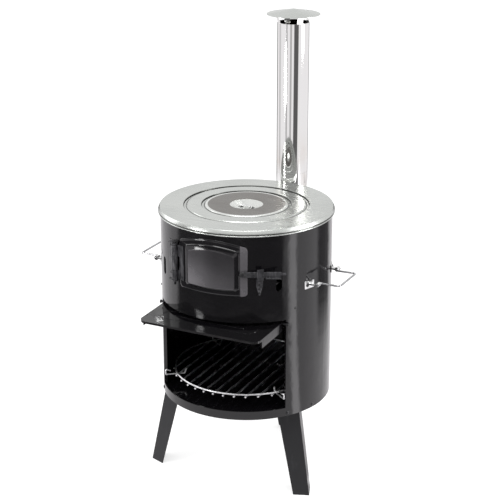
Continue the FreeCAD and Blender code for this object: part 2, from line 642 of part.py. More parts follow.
def latch():
    """The flat latch lever on the door, its rivet, and the hooked keeper on the drum."""
    level = dim("latch_level")
    back = dim("latch_plane")
    front = back + dim("latch_sheet")
    half = dim("latch_height") / 2
    bar = dim("latch_bar")
    reach = dim("latch_reach")
    lever = [
        rod("lever_end", "Y", (0, -front, level), dim("latch_sheet"), half),
        box("lever_bar", (0, bar), (-front, -back), (level - half, level + half)),
        box("lever_grip", (bar, reach), (-front, -back), (level - half - 1, level + half + 1)),
        box("lever_lip", (bar, reach), (-front - 5, -front), (level - half - 1, level - half + 1)),
        box("lever_tip", (reach, reach + dim("latch_tip")), (-front, -back),
            (level + half - 6, level + half - 1)),
    ]
    pivot = rod("lever_pivot_hole", "Y", (0, -front - 5, level), 20, dim("latch_pin_radius") + CLEAR)
    node("latch_lever", cut("latch_lever", fuse("lever_whole", lever), [pivot]), dim("latch_azimuth"))

    washer_inner = DRUM + dim("door_gap")
    pin = fuse("latch_rivet_whole", [
        rod("latch_rivet_shank", "Y", (0, -front - 0.3, level), front + 0.3 - washer_inner,
            dim("latch_pin_radius")),
        place(dome("latch_rivet_head", dim("latch_pin_radius") + 3, 0), 0,
              dim("latch_pin_radius") + 3 - front - 0.3, level),
    ])
    node("latch_rivet", pin, dim("latch_azimuth"))

    foot = DRUM + 0.25
    skin = dim("keeper_sheet")
    plane = dim("keeper_plane")
    shelf = dim("keeper_shelf")
    profile = [
        (-foot, dim("keeper_low")), (-foot, shelf), (-plane, shelf), (-plane, dim("keeper_high")),
        (-plane - skin, dim("keeper_high")), (-plane - skin, shelf - skin - 3), (-plane, shelf - skin - 5),
        (-foot - skin, shelf - skin - 7), (-foot - skin, dim("keeper_low")),
    ]
    hook = strip("keeper_hook", profile, dim("keeper_width"))
    half_width = dim("keeper_width") / 2
    half_point = dim("keeper_point") / 2
    shoulder = dim("keeper_low") + dim("keeper_taper")
    front_view = strip("keeper_front_view", [
        (-half_point, dim("keeper_low")), (half_point, dim("keeper_low")), (half_width, shoulder),
        (half_width, dim("keeper_high")), (-half_width, dim("keeper_high")), (-half_width, shoulder),
    ], 2 * (plane + 10), "XZ_Plane")
    hook = common("keeper_tapered", hook, front_view)
    drilled = [rod(f"keeper_hole_{i}", "Y", (0, -DRUM - 15, rivet_level), 30,
                   dim("rivet_radius") + HOLE_EASE) for i, rivet_level in enumerate(KEEPER_RIVET_LEVELS)]
    node("latch_keeper", cut("latch_keeper", hook, drilled), dim("keeper_azimuth"))
    rivets = [fastener(f"keeper_rivet_{i}", dim("keeper_azimuth"), rivet_level, -foot - skin - 0.1,
                       2 - DRUM_INSIDE, dim("rivet_radius"), dim("rivet_head") - 1)
              for i, rivet_level in enumerate(KEEPER_RIVET_LEVELS)]
    node("keeper_rivets", group("keeper_rivets", rivets))


def flap():
    """The flap over the lower opening: a sheet with a rolled sleeve, two cheeks and a turned-down lip."""
    skin = dim("flap_sheet")
    half = dim("flap_half_width")
    top = dim("flap_sleeve_radius")
    reach = dim("flap_reach")
    corner = dim("flap_corner")
    plate_block = box("flap_block", (-half, half), (-reach, reach), (top - skin, top))
    plate = rounded("flap_rounded", plate_block, corner, "Z")
    lip_levels = (top - dim("flap_lip") - skin, top - 0.2)
    lip_block = box("flap_lip_block", (-half, half), (-reach, reach), lip_levels)
    lip_outer = rounded("flap_lip_outer", lip_block, corner, "Z")
    lip_core_block = box("flap_lip_core_block", (skin - half, half - skin), (skin - reach, reach - skin),
                         (top - dim("flap_lip") - skin - 1, top + 1))
    lip_core = rounded("flap_lip_core", lip_core_block, corner - skin, "Z")
    lip = cut("flap_lip_ring", lip_outer, [lip_core])
    rear = box("flap_rear", (-half - 1, half + 1), (0, reach + 1), (-20, 20))
    front = cut("flap_front", fuse("flap_front_whole", [plate, lip]), [rear])
    sleeve = rod("flap_sleeve", "X", (-half, 0, 0), 2 * half, top)
    cheeks = []
    for name, low_x, high_x in (("left", -half, skin - half), ("right", half - skin, half)):
        cheeks.append(box(f"flap_cheek_{name}", (low_x, high_x), (-dim("flap_cheek_reach"), 0),
                          (top - skin - dim("flap_cheek"), top - skin + 0.5)))
        heel = dim("flap_cheek") / 2
        cheeks.append(rod(f"flap_cheek_{name}_heel", "X", (low_x, -heel, top - skin - heel), skin, heel))
    emboss = (top - 0.5, top + dim("emboss_rise"))
    line = dim("emboss_line")
    half_ring = dim("emboss_half_width")
    near = dim("emboss_near")
    far = dim("emboss_far")
    ring_outer = box("emboss_outer_block", (-half_ring, half_ring), (-far, -near), emboss)
    ring_outer = rounded("emboss_outer", ring_outer, (far - near) / 2 - 0.1, "Z")
    ring_inner = box("emboss_inner_block", (line - half_ring, half_ring - line), (line - far, -near - line),
                     (top - 1, top + 2))
    ring_inner = rounded("emboss_inner", ring_inner, (far - near) / 2 - line - 0.1, "Z")
    ring = cut("emboss_ring", ring_outer, [ring_inner])
    middle = -(near + far) / 2
    half_bar = dim("emboss_bar_half_width")
    half_depth = dim("emboss_bar_half_depth")
    bar = box("emboss_bar_block", (-half_bar, half_bar), (middle - half_depth, middle + half_depth), emboss)
    bar = rounded("emboss_bar", bar, half_depth - 0.1, "Z")
    whole = fuse("flap_whole", [front, sleeve, ring, bar] + cheeks)
    bore = rod("flap_bore", "X", (-half - 5, 0, 0), 2 * half + 10, dim("flap_rod_radius") + CLEAR)
    panel = cut("flap_plate", whole, [bore])
    panel.Placement = FreeCAD.Placement(FreeCAD.Vector(), FreeCAD.Rotation(FreeCAD.Vector(1, 0, 0), 1))
    bind(panel, **{"Placement.Rotation.Angle": dim("flap_droop")})
    node("flap_plate", place(panel, 0, dim("flap_hinge_y"), dim("flap_hinge_z")))
    long = dim("flap_rod_half")
    head = 2.4
    heads = [rod(f"flap_rod_head_{i}", "X", (start, 0, 0), head, dim("flap_rod_radius") + 2)
             for i, start in enumerate((-long, long - head))]
    shaft = rod("flap_rod_bar", "X", (-long, 0, 0), 2 * long, dim("flap_rod_radius"))
    bar = fuse("flap_hinge_rod", [shaft] + heads)
    node("flap_hinge_rod", place(bar, 0, dim("flap_hinge_y"), dim("flap_hinge_z")))


def vector(x, y, z):
    return FreeCAD.Vector(*(as_size(number).value for number in (x, y, z)))


def handle(name, azimuth):
    """A wire bail: two turned-out ends, two arms that splay a little, and a straight grip."""
    x = dim("handle_pivot_x")
    level = dim("handle_level")
    grip = dim("handle_half_grip")
    arm = dim("handle_half_arm")
    end = dim("eye_high") + 3
    bail = bent_wire(name, [
        vector(-end, -x, level), vector(-arm, -x, level), vector(-grip, -dim("handle_reach"), level),
        vector(grip, -dim("handle_reach"), level), vector(arm, -x, level), vector(end, -x, level),
    ], dim("handle_bend").value, dim("handle_wire").value)
    node(name, bail, azimuth)


def handle_bracket(name, azimuth, side):
    """A bracket strap on the drum with an eye for one end of a bail; side is the eye's way from the bail."""
    level = dim("handle_level")
    inner = DRUM + SHELL_EASE
    skin = dim("drum_wall") + 0.5
    low = dim("eye_low")
    high = dim("eye_high")
    xs = (low - 2, high + 15) if side > 0 else (-high - 15, 2 - low)
    eye_xs = (low, high) if side > 0 else (-high, -low)
    strap_levels = (level - 9, level + 9)
    eye = tube(name + "_eye", "X", (eye_xs[0], -dim("handle_pivot_x"), level), high - low,
               dim("eye_radius"), dim("handle_wire") + CLEAR)
    web = box(name + "_web", eye_xs, (3.2 - dim("handle_pivot_x"), -195), (level - 2, level + 2))
    core = rod(name + "_core", "Z", (0, 0, level - 10), 20, inner)
    strap = patch(name + "_strap", inner, inner + skin, xs, strap_levels)
    whole = cut(name + "_whole", fuse(name + "_joined", [strap, eye, web]), [core])
    bolt_turn = side * (90 - dim("handle_bolt_azimuth"))
    drilled = hole(name + "_hole", bolt_turn, level, dim("screw_radius") + HOLE_EASE)
    node(name, cut(name, whole, [drilled]), azimuth)


def handle_fasteners():
    skin = dim("drum_wall") + 0.5
    bolts = [fastener(f"handle_bolt_{i}", azimuth, dim("handle_level"), -DRUM - skin - 0.2,
                      6 - DRUM_INSIDE, dim("screw_radius"), dim("screw_head"))
             for i, azimuth in enumerate(HANDLE_BOLTS)]
    node("handle_bolts", group("handle_bolts", bolts))
    half = dim("nut_flats") / 2
    nuts = []
    for i, azimuth in enumerate(HANDLE_BOLTS):
        nut = box(f"handle_nut_{i}", (-half, half), (0.4 - DRUM_INSIDE, 4.4 - DRUM_INSIDE), (-half, half))
        bore = rod(f"handle_nut_bore_{i}", "Y", (0, -DRUM_INSIDE - 1, 0), 8, dim("screw_radius") + HOLE_EASE)
        nut = cut(f"handle_nut_cut_{i}", nut, [bore])
        nuts.append(place(group(f"handle_nut_at_{i}", [nut]), 0, 0, dim("handle_level"), yaw=azimuth))
    node("handle_nuts", group("handle_nuts", nuts))


def hob():
    """Three nested pressed plates: the hob plate on the drum, the cooking ring in it and the lid in that."""
    skin = dim("plate_sheet")
    top = dim("plate_level")
    under = top - skin
    outer = dim("plate_radius")
    skirt = top - dim("plate_skirt")
    bead = 1
    seat = top - dim("seat_depth")
    gap = 0.4
    ring_rise = dim("ring_hole") - 5
    node("top_plate", turned("top_plate", [
        (outer - skin, skirt - 1), (outer + bead, skirt - 1), (outer + bead, skirt + 1.6),
        (outer - 0.5, skirt + 2.4), (outer - 0.5, skirt + 3.4), (outer, skirt + 4), (outer, top - 2),
        (outer - 2, top), (dim("ring_seat"), top), (dim("ring_seat"), seat), (dim("ring_hole"), seat),
        (dim("ring_hole"), seat - skin), (dim("ring_seat") + skin, seat - skin),
        (dim("ring_seat") + skin, under), (outer - skin, under),
    ]))
    node("cooking_ring", turned("cooking_ring", [
        (dim("ring_seat") - gap, seat), (dim("ring_seat") - gap, seat + skin), (ring_rise + 2, seat + skin),
        (ring_rise, top), (dim("lid_seat"), top), (dim("lid_seat"), seat), (dim("lid_hole"), seat),
        (dim("lid_hole"), seat - skin), (dim("lid_seat") + skin, seat - skin),
        (dim("lid_seat") + skin, under), (ring_rise - 1, under), (ring_rise + 1.2, seat),
    ]))
    lid_rise = dim("lid_hole") - 2.5
    cup = top - dim("cup_depth")
    cup_low = dim("cup_floor_radius")
    lid = turned("centre_lid_turned", [
        (dim("lid_seat") - gap, seat), (dim("lid_seat") - gap, seat + skin), (lid_rise + 2, seat + skin),
        (lid_rise, top), (dim("cup_radius"), top - 0.8), (cup_low, cup), (0, cup), (0, cup - skin),
        (cup_low, cup - skin), (dim("cup_radius"), under - 0.8), (lid_rise - 1, under),
        (lid_rise + 1.2, seat),
    ])
    near = dim("cup_slot_near")
    far = near + dim("cup_slot_length")
    side = dim("cup_slot_half_width")
    slots = [box(f"cup_slot_{i}", xs, (-side, side), (cup - 5, cup + 1))
             for i, xs in enumerate(((-far, -near), (near, far)))]
    node("centre_lid", cut("centre_lid", lid, slots))
    half = dim("lift_bar_half")
    foot = dim("lift_bar_foot")
    width = side - HOLE_EASE
    bar_low = cup + dim("lift_bar_rise")
    bar_high = bar_low + dim("lift_bar_sheet")
    feet = [box(f"lifting_bar_foot_{i}", xs, (-width, width), (cup - skin - 2, bar_high))
            for i, xs in enumerate(((-half, foot - half), (half - foot, half)))]
    middle = box("lifting_bar_middle", (-half, half), (-width, width), (bar_low, bar_high))
    node("lifting_bar", fuse("lifting_bar", [middle] + feet))


def fire_bed():
    """The slotted plate that the fire lies on, level with the door's foot, and its three wall tabs."""
    level = dim("bed_level")
    high = level + dim("bed_sheet")
    disc = rod("bed_disc", "Z", (0, 0, level), dim("bed_sheet"), dim("bed_radius"))
    slots = []
    half_slot = dim("bed_slot_width") / 2
    for i in range(-5, 6):
        middle = i * dim("bed_slot_pitch")
        half = dim("bed_slot_half") - dim("bed_slot_step") * abs(i)
        slots.append(box(f"bed_slot_block_{i + 5}", (middle - half_slot, middle + half_slot), (-half, half),
                         (level - 1, high + 1)))
    rib_half = dim("bed_rib_half")
    rib_reach = dim("bed_radius") - 10
    ribs = box("bed_rib", (-rib_reach, rib_reach), (-rib_half, rib_half), (level, high))
    slotted = cut("bed_slotted", disc, slots)
    node("fire_bed_plate", fuse("fire_bed_plate", [slotted, ribs]))
    inner = DRUM_INSIDE - SHELL_EASE
    tab_half = dim("bed_tab_half")
    tab_skin = dim("bed_tab_sheet")
    tab_top = level - 0.1
    rivet_level = level - dim("bed_tab_rivet_drop")
    tabs = []
    for i, azimuth in enumerate(BED_AZIMUTHS):
        upright = patch(f"bed_tab_upright_{i}", inner - tab_skin, inner, (-tab_half, tab_half),
                        (level - dim("bed_tab_drop"), tab_top))
        shelf = patch(f"bed_tab_shelf_{i}", inner - dim("bed_tab_drop"), inner, (-tab_half, tab_half),
                      (tab_top - tab_skin, tab_top))
        whole = fuse(f"bed_tab_whole_{i}", [upright, shelf])
        drilled = hole(f"bed_tab_hole_{i}", 0, rivet_level, dim("rivet_radius") + HOLE_EASE)
        tabs.append(group(f"bed_tab_{i}", [cut(f"bed_tab_cut_{i}", whole, [drilled])], yaw=azimuth))
    node("bed_tabs", group("bed_tabs", tabs))
    rivets = [fastener(f"bed_rivet_{i}", azimuth, rivet_level, -DRUM - 0.1, 4 - inner,
                       dim("rivet_radius"), dim("rivet_head") - 0.6)
              for i, azimuth in enumerate(BED_AZIMUTHS)]
    node("bed_tab_rivets", group("bed_tab_rivets", rivets))


def grate():
    """The round wire grate low in the drum, and the four wire hooks on the wall that carry it."""
    level = dim("grate_level")
    wire = dim("grate_wire")
    hoop = doc.addObject("Part::Torus", "grate_ring")
    bind(hoop, Radius1=dim("grate_radius"), Radius2=wire)
    node("grate_ring", place(hoop, 0, 0, level))
    bars = []
    for i in range(-6, 7):
        x = i * dim("grate_pitch")
        half = root((dim("grate_radius") + 4) * (dim("grate_radius") + 4) - x * x)
        bars.append(rod(f"grate_bar_{i + 6}", "Y", (x, -half, level - 2 * wire + 0.2), 2 * half, wire - 0.2))
    node("grate_bars", group("grate_bars", bars))
    hooks = []
    out = -(DRUM_INSIDE - dim("hook_wire") - 0.1)
    thick = dim("hook_wire")
    for i, azimuth in enumerate(HOOK_AZIMUTHS):
        rest = level - 3 * wire - thick + 0.3
        reach = out + dim("hook_reach")
        top = level + dim("hook_top")
        hooked = bent_wire(f"grate_hook_{i}", [
            vector(0, out + 12, top - 6), vector(0, out, top), vector(0, out, rest),
            vector(0, reach, rest), vector(0, reach + 4, rest + dim("hook_tip")),
        ], HOOK_BEND, thick.value)
        hooks.append(place(hooked, yaw=azimuth))
    node("grate_hooks", group("grate_hooks", hooks))


def flue():
    """The flue: a riveted collar at the back, an elbow, a straight polished pipe and a rain cap on struts."""
    radius = dim("flue_radius")
    skin = dim("flue_sheet")
    axis_z = dim("flue_axis_level")
    y = dim("flue_y")
    bend = dim("elbow_bend")
    collar_inner = DRUM + SHELL_EASE
    collar_outer = collar_inner + dim("collar_sheet")
    stub = radius - skin - 0.3
    centre_y = y - bend
    around = band("collar_band", collar_inner, collar_outer, axis_z - 60, axis_z + 60)
    saddle = common("collar_saddle", around,
                    rod("collar_round", "Y", (0, DRUM - 60, axis_z), 80, dim("collar_radius")))
    trim = box("collar_trim", (-60, 60), (DRUM - 60, DRUM + 20), (axis_z + dim("collar_height"), axis_z + 70))
    stub_tube = rod("collar_stub", "Y", (0, DRUM - 6, axis_z), 14, stub)
    bore = rod("collar_bore", "Y", (0, DRUM - 20, axis_z), 60, stub - 1)
    drilled = [
        rod(f"collar_hole_{i}", "Y",
            (side_x * FLUE_RIVET_OFFSET, DRUM - 20, axis_z + side_z * FLUE_RIVET_OFFSET), 40,
            dim("rivet_radius") + HOLE_EASE)
        for i, (side_x, side_z) in enumerate(FLUE_RIVET_SPOTS)
    ]
    node("flue_collar", cut("flue_collar", fuse("collar_whole", [saddle, stub_tube]), [bore, trim] + drilled))
    rivets = []
    depth = DRUM * cosine(9.4)
    for i, (side_x, side_z) in enumerate(FLUE_RIVET_SPOTS):
        spot = (side_x * FLUE_RIVET_OFFSET, depth - 3, axis_z + side_z * FLUE_RIVET_OFFSET)
        shank = rod(f"flue_rivet_shank_{i}", "Y", spot, 5.4, dim("rivet_radius"))
        head = rod(f"flue_rivet_head_{i}", "Y", (spot[0], depth + 2.4, spot[2]), 1.6, dim("rivet_head") - 0.8)
        rivets.append(fuse(f"flue_rivet_{i}", [shank, head]))
    node("flue_rivets", group("flue_rivets", rivets))

    pieces = []
    for name, outer, inner in (("elbow_out", radius, 0), ("elbow_in", radius - skin, 1)):
        turn = doc.addObject("Part::Torus", name + "_turn")
        turn.Placement = FreeCAD.Placement(FreeCAD.Vector(), ELBOW_TURN)
        turn.Angle3 = 90
        bind(turn, Radius1=bend, Radius2=outer)
        place(turn, 0, centre_y, axis_z + bend)
        rise = dim("elbow_seam") - axis_z - bend + inner
        upright = rod(name + "_upright", "Z", (0, y, axis_z + bend), rise, outer)
        level_run = rod(name + "_level", "Y", (0, collar_outer + 0.3 - inner, axis_z),
                        centre_y - collar_outer - 0.3 + inner, outer)
        pieces.append(fuse(name, [turn, upright, level_run]))
    elbow = cut("elbow_sheet", pieces[0], [pieces[1]])
    male = radius - skin - CLEAR
    lap_foot = (0, y, dim("elbow_seam") - 6)
    spigot = tube("elbow_spigot", "Z", lap_foot, dim("lap_length") + 6, male, male - skin)
    swage = tube("elbow_swage", "Z", lap_foot, 5, radius - 0.2, male - skin)
    node("flue_elbow", fuse("flue_elbow", [elbow, swage, spigot]))

    low = dim("elbow_seam") + 0.3
    node("flue_pipe", tube("flue_pipe", "Z", (0, y, low), dim("flue_top") - low, radius, radius - skin))

    cap_top = dim("cap_brim") + dim("cap_rise")
    cap = turned("rain_cap", [
        (0, cap_top), (dim("cap_radius"), dim("cap_brim")),
        (dim("cap_radius"), dim("cap_brim") - dim("cap_sheet")),
        (0, cap_top - dim("cap_sheet")),
    ])
    node("rain_cap", place(cap, 0, y, 0))
    slope = dim("cap_rise") / dim("cap_radius")
    under = cap_top - dim("cap_sheet") - 0.15
    thick = dim("strut_sheet")
    outer = radius - skin - SHELL_EASE
    wide = outer + dim("strut_spread")
    tab_end = wide - dim("strut_tab")
    low = dim("strut_low")
    rim = dim("flue_top") + 0.5
    struts = []
    for i in range(4):
        strut = strip(f"cap_strut_{i}", [
            (-outer, low), (-outer, rim), (-wide, under - slope * wide), (-tab_end, under - slope * tab_end),
            (-tab_end, under - slope * tab_end - thick), (thick - wide, under - slope * wide - thick),
            (thick - outer, rim), (thick - outer, low),
        ], dim("strut_width"))
        in_pipe = rod(f"cap_strut_in_pipe_{i}", "Z", (0, 0, low - 1), rim - low + 1, outer)
        above = rod(f"cap_strut_above_{i}", "Z", (0, 0, rim), 40, wide)
        shaped = common(f"cap_strut_shaped_{i}", strut, fuse(f"cap_strut_room_{i}", [in_pipe, above]))
        struts.append(place(group(f"cap_strut_at_{i}", [shaped]), 0, y, 0, yaw=dim("strut_azimuth") + 90 * i))
    node("cap_struts", group("cap_struts", struts))


drum_shell()
drum_floor()
for leg_name, leg_turn in LEG_AZIMUTHS.items():
    leg(leg_name, leg_turn)
leg_fasteners()
fire_door()
hinge_leaf()
hinge_bracket()
latch()
flap()
for side_name, side_turn in (("right", 90), ("left", -90)):
    handle(f"handle_{side_name}", side_turn)
    handle_bracket(f"handle_bracket_{side_name}_front", side_turn, -1 if side_turn > 0 else 1)
    handle_bracket(f"handle_bracket_{side_name}_rear", side_turn, 1 if side_turn > 0 else -1)
handle_fasteners()
hob()
fire_bed()
grate()
flue()
doc.recompute()

failed = [thing.Label for thing in doc.Objects if "Invalid" in thing.State or "Error" in thing.State]
if failed:
    raise RuntimeError(f"these objects did not recompute: {failed}")
for name, thing in nodes:
    if thing.Shape.isNull() or not thing.Shape.isValid() or not thing.Shape.Solids:
        raise RuntimeError(f"{name} has no valid solid")

os.makedirs("parts", exist_ok=True)
for name, thing in nodes:
    thing.Shape.exportStep(f"parts/{name}.step")
    bounds = thing.Shape.BoundBox
    print(f"{name}: {len(thing.Shape.Solids)} solids, {thing.Shape.Volume / 1000:.1f} cm3, "
          f"z {bounds.ZMin:.1f} to {bounds.ZMax:.1f}")
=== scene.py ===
import json
import math

import bmesh
import bpy
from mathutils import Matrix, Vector


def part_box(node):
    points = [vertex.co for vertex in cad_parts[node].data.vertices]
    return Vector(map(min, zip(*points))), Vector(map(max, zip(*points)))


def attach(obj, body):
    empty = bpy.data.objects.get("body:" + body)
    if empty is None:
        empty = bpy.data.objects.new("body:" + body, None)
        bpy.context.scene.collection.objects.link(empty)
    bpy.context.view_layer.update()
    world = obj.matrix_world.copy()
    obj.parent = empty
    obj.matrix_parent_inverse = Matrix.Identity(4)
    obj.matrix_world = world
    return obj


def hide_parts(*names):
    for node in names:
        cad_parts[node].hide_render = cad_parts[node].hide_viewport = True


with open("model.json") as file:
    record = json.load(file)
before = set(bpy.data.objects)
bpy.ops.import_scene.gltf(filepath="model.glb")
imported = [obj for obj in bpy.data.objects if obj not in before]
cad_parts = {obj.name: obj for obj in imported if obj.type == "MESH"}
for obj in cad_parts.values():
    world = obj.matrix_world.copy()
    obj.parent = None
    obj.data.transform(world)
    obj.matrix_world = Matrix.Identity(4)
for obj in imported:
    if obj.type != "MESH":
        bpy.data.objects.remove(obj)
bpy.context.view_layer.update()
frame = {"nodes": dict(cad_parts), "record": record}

# A round outdoor stove of black enamelled steel on three legs, with a steel hob and a polished flue.
# Metres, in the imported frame: +Z up, the front faces -Y, the drum's axis is the Z axis.
# Azimuths are degrees about that axis from the front, positive towards +X.

NODES = frame["nodes"]
BODY_OF_NODE = {
    node: body for body, members in frame["record"]["behaviour"]["bodies"].items() for node in members
}
NODE_SLOTS = {part["node"]: part["material_slot"] for part in frame["record"]["subparts"]}
MM = 0.001

# ---------------------------------------------------------------- shader node helpers


def new_material(name):
    """A material with an empty node tree and its output node."""
    material = bpy.data.materials.new(name)
    material.use_nodes = True
    tree = material.node_tree
    tree.nodes.clear()
    output = tree.nodes.new("ShaderNodeOutputMaterial")
    return material, tree, output


def add(tree, kind, settings=None, **inputs):
    """A node with its settings and inputs; i0, i1... name inputs by place, and a value may be a socket."""
    made = tree.nodes.new(kind)
    for name, value in (settings or {}).items():
        setattr(made, name, value)
    for name, value in inputs.items():
        place = int(name[1:]) if name[0] == "i" and name[1:].isdigit() else name
        if isinstance(value, bpy.types.NodeSocket):
            tree.links.new(value, made.inputs[place])
        else:
            made.inputs[place].default_value = value
    return made


def calc(tree, operation, first, second=0.0, third=0.0):
    """One Math node; returns its result."""
    return add(tree, "ShaderNodeMath", {"operation": operation}, i0=first, i1=second, i2=third).outputs[0]


def product(tree, *values):
    result = values[0]
    for value in values[1:]:
        result = calc(tree, "MULTIPLY", result, value)
    return result


def fade(tree, value, low, high, start=0.0, end=1.0):
    """A smooth step: start below low, end above high."""
    made = add(tree, "ShaderNodeMapRange", {"interpolation_type": "SMOOTHSTEP"},
               i0=value, i1=low, i2=high, i3=start, i4=end)
    return made.outputs[0]


def between(tree, value, low, high, soft):
    """One inside low..high and nought outside, with edges this soft."""
    above = fade(tree, value, low - soft, low + soft)
    below = fade(tree, value, high - soft, high + soft, 1, 0)
    return product(tree, above, below)


def axes_of(tree, place):
    """The x, y and z sockets of a place or a direction."""
    return add(tree, "ShaderNodeSeparateXYZ", i0=place).outputs


def from_axis(tree, place):
    """The distance of a place from the drum's axis."""
    x, y, _ = axes_of(tree, place)
    return calc(tree, "SQRT", calc(tree, "ADD", product(tree, x, x), product(tree, y, y)))


def noise(tree, place, scale, detail=3.0, stretch=(1, 1, 1)):
    """A noise value in the object's own space, stretched along its axes."""
    mapped = add(tree, "ShaderNodeMapping", Vector=place, Scale=stretch).outputs[0]
    return add(tree, "ShaderNodeTexNoise", Vector=mapped, Scale=scale, Detail=detail).outputs[0]


def tint(tree, factor, first, second):
    """A colour between two, by a factor socket; each is a colour or the socket of one."""
    made = add(tree, "ShaderNodeMix", {"data_type": "RGBA"}, i0=factor)
    for place, colour in ((6, first), (7, second)):
        if isinstance(colour, bpy.types.NodeSocket):
            tree.links.new(colour, made.inputs[place])
        else:
            made.inputs[place].default_value = (*colour, 1)
    return made.outputs[2]


def bump(tree, shader, height, distance):
    """Add a bump of this real depth on top of any that the shader already has."""
    made = add(tree, "ShaderNodeBump", Height=height, Distance=distance)
    before = shader.inputs["Normal"].links
    if before:
        tree.links.new(before[0].from_socket, made.inputs["Normal"])
    tree.links.new(made.outputs[0], shader.inputs["Normal"])


# ---------------------------------------------------------------- camera and studio

CAMERA_AZIMUTH = 26.54      # degrees from the front towards +X
CAMERA_PITCH = 19.66        # degrees below the horizon
CAMERA_DISTANCE = 3.5
CAMERA_PIVOT = Vector((0, 0, 0.55))
CAMERA_AIM = Vector((0.0076, 0.0038, 0.575))
CAMERA_LENS = 102.2         # millimetres on a 36 mm sensor
FLOOR_RADIUS = 90
FLOOR_SIDES = 96
CARD_LEVEL = -0.004         # the card lies just under the floor
FLOOR_GLOW = 0.66           # the floor is a light table, so the stove casts hardly any shadow
PAPER_GLOW = 1.15           # the lit paper round the stove
DARK_GLOW = 0.14            # the unlit studio beyond it, in front
FAR_GLOW = 1.0              # lit walls further off, which the flue sees
STRIP_GLOW = 3.2            # a soft vertical light to the right of the camera
PAPER_EDGE = (0.8, 1.5)     # metres from the drum's axis over which the paper falls into the dark
WALL_EDGE = (2.3, 2.7)      # metres at which the far lit walls begin
STRIP_SECTOR = (56, 66)
# Dark zones past the paper: from and to, in azimuths from the camera's, and how dark
DARK_SECTORS = [(-98, 50, 1.0), (104, 136, 0.95)]
# Dark gaps between the far lit walls, in the same terms
WALL_GAPS = [(-180, -150, 0.9), (-124, -104, 0.3), (-56, -44, 0.5), (-24, -10, 0.5), (6, 40, 0.88),
             (150, 180, 0.9)]
SKY_DARK_SECTOR = (-98, 50)     # where the studio in front of the stove has no lit ceiling
SKY_DARK_TOP = (13, 28)         # degrees above the horizon over which it becomes lit again


def polar(radius, azimuth, height=0.0):
    """The point at this radius and azimuth about the drum's axis."""
    turn = math.radians(azimuth)
    return Vector((radius * math.sin(turn), -radius * math.cos(turn), height))


def make_camera():
    pitch = math.radians(CAMERA_PITCH)
    data = bpy.data.cameras.new("camera")
    data.lens = CAMERA_LENS
    data.sensor_width = 36
    camera = bpy.data.objects.new("camera", data)
    bpy.context.scene.collection.objects.link(camera)
    away = polar(math.cos(pitch), CAMERA_AZIMUTH, math.sin(pitch))
    camera.location = CAMERA_PIVOT + away * CAMERA_DISTANCE
    camera.rotation_mode = "QUATERNION"
    camera.rotation_quaternion = (CAMERA_AIM - camera.location).to_track_quat("-Z", "Y")
    bpy.context.scene.camera = camera
    bpy.context.scene.view_settings.view_transform = "Standard"


def make_floor():
    """The pale floor, and the glowing card under it that only polished surfaces see."""
    for name, level, material in (
        ("studio_floor", 0.0, floor_material()),
        ("studio_card", CARD_LEVEL, card_material()),
    ):
        mesh = bpy.data.meshes.new(name)
        shape = bmesh.new()
        bmesh.ops.create_circle(shape, cap_ends=True, segments=FLOOR_SIDES, radius=FLOOR_RADIUS)
        shape.to_mesh(mesh)
        shape.free()
        mesh.materials.append(material)
        disc = bpy.data.objects.new(name, mesh)
        disc.location.z = level
        bpy.context.scene.collection.objects.link(disc)
    bpy.data.objects["studio_floor"].visible_glossy = False
    card = bpy.data.objects["studio_card"]
    card.visible_camera = False
    card.visible_diffuse = False
    card.visible_shadow = False
    card.visible_transmission = False


def floor_material():
    material, tree, output = new_material("pale_floor")
    place = tree.nodes.new("ShaderNodeTexCoord").outputs["Object"]
    rough = fade(tree, noise(tree, place, 40, 4), 0.3, 0.7, 0.85, 0.95)
    shader = add(tree, "ShaderNodeBsdfPrincipled", Roughness=rough)
    shader.inputs["Base Color"].default_value = (0.5, 0.5, 0.5, 1)
    shader.inputs["Emission Color"].default_value = (1, 1, 1, 1)
    shader.inputs["Emission Strength"].default_value = FLOOR_GLOW
    shader.inputs["Specular IOR Level"].default_value = 0.0
    tree.links.new(shader.outputs[0], output.inputs[0])
    return material


def azimuth_from_camera(tree, x, y):
    """The azimuth of a direction or place about the drum's axis, from the camera's, -180 to 180 degrees."""
    turn = product(tree, calc(tree, "ARCTAN2", x, product(tree, y, -1.0)), 180 / math.pi)
    return calc(tree, "WRAP", calc(tree, "SUBTRACT", turn, CAMERA_AZIMUTH), 180.0, -180.0)


def card_material():
    """What the gloss sees below the horizon: lit paper near, a dark zone in front, light walls beyond."""
    material, tree, output = new_material("studio_card")
    place = tree.nodes.new("ShaderNodeNewGeometry").outputs["Position"]
    x, y, _ = axes_of(tree, place)
    reach = from_axis(tree, place)
    turn = azimuth_from_camera(tree, x, y)
    near = fade(tree, reach, *WALL_EDGE, 1, 0)
    far = fade(tree, reach, *WALL_EDGE)
    past_paper = product(tree, fade(tree, reach, *PAPER_EDGE), near)
    glow = fade(tree, reach, *WALL_EDGE, PAPER_GLOW, FAR_GLOW)
    for low, high, depth in DARK_SECTORS:
        dark = product(tree, between(tree, turn, low, high, 5), past_paper, depth)
        lit = product(tree, glow, calc(tree, "SUBTRACT", 1.0, dark))
        glow = calc(tree, "ADD", lit, product(tree, dark, DARK_GLOW))
    strip = product(tree, between(tree, turn, *STRIP_SECTOR, 2.5), near, STRIP_GLOW - PAPER_GLOW)
    glow = calc(tree, "ADD", glow, strip)
    for low, high, depth in WALL_GAPS:
        gap = product(tree, between(tree, turn, low, high, 3), far, depth)
        glow = product(tree, glow, calc(tree, "SUBTRACT", 1.0, gap))
    light = add(tree, "ShaderNodeEmission", Strength=glow)
    light.inputs["Color"].default_value = (1, 0.98, 1, 1)
    tree.links.new(light.outputs[0], output.inputs[0])
    return material


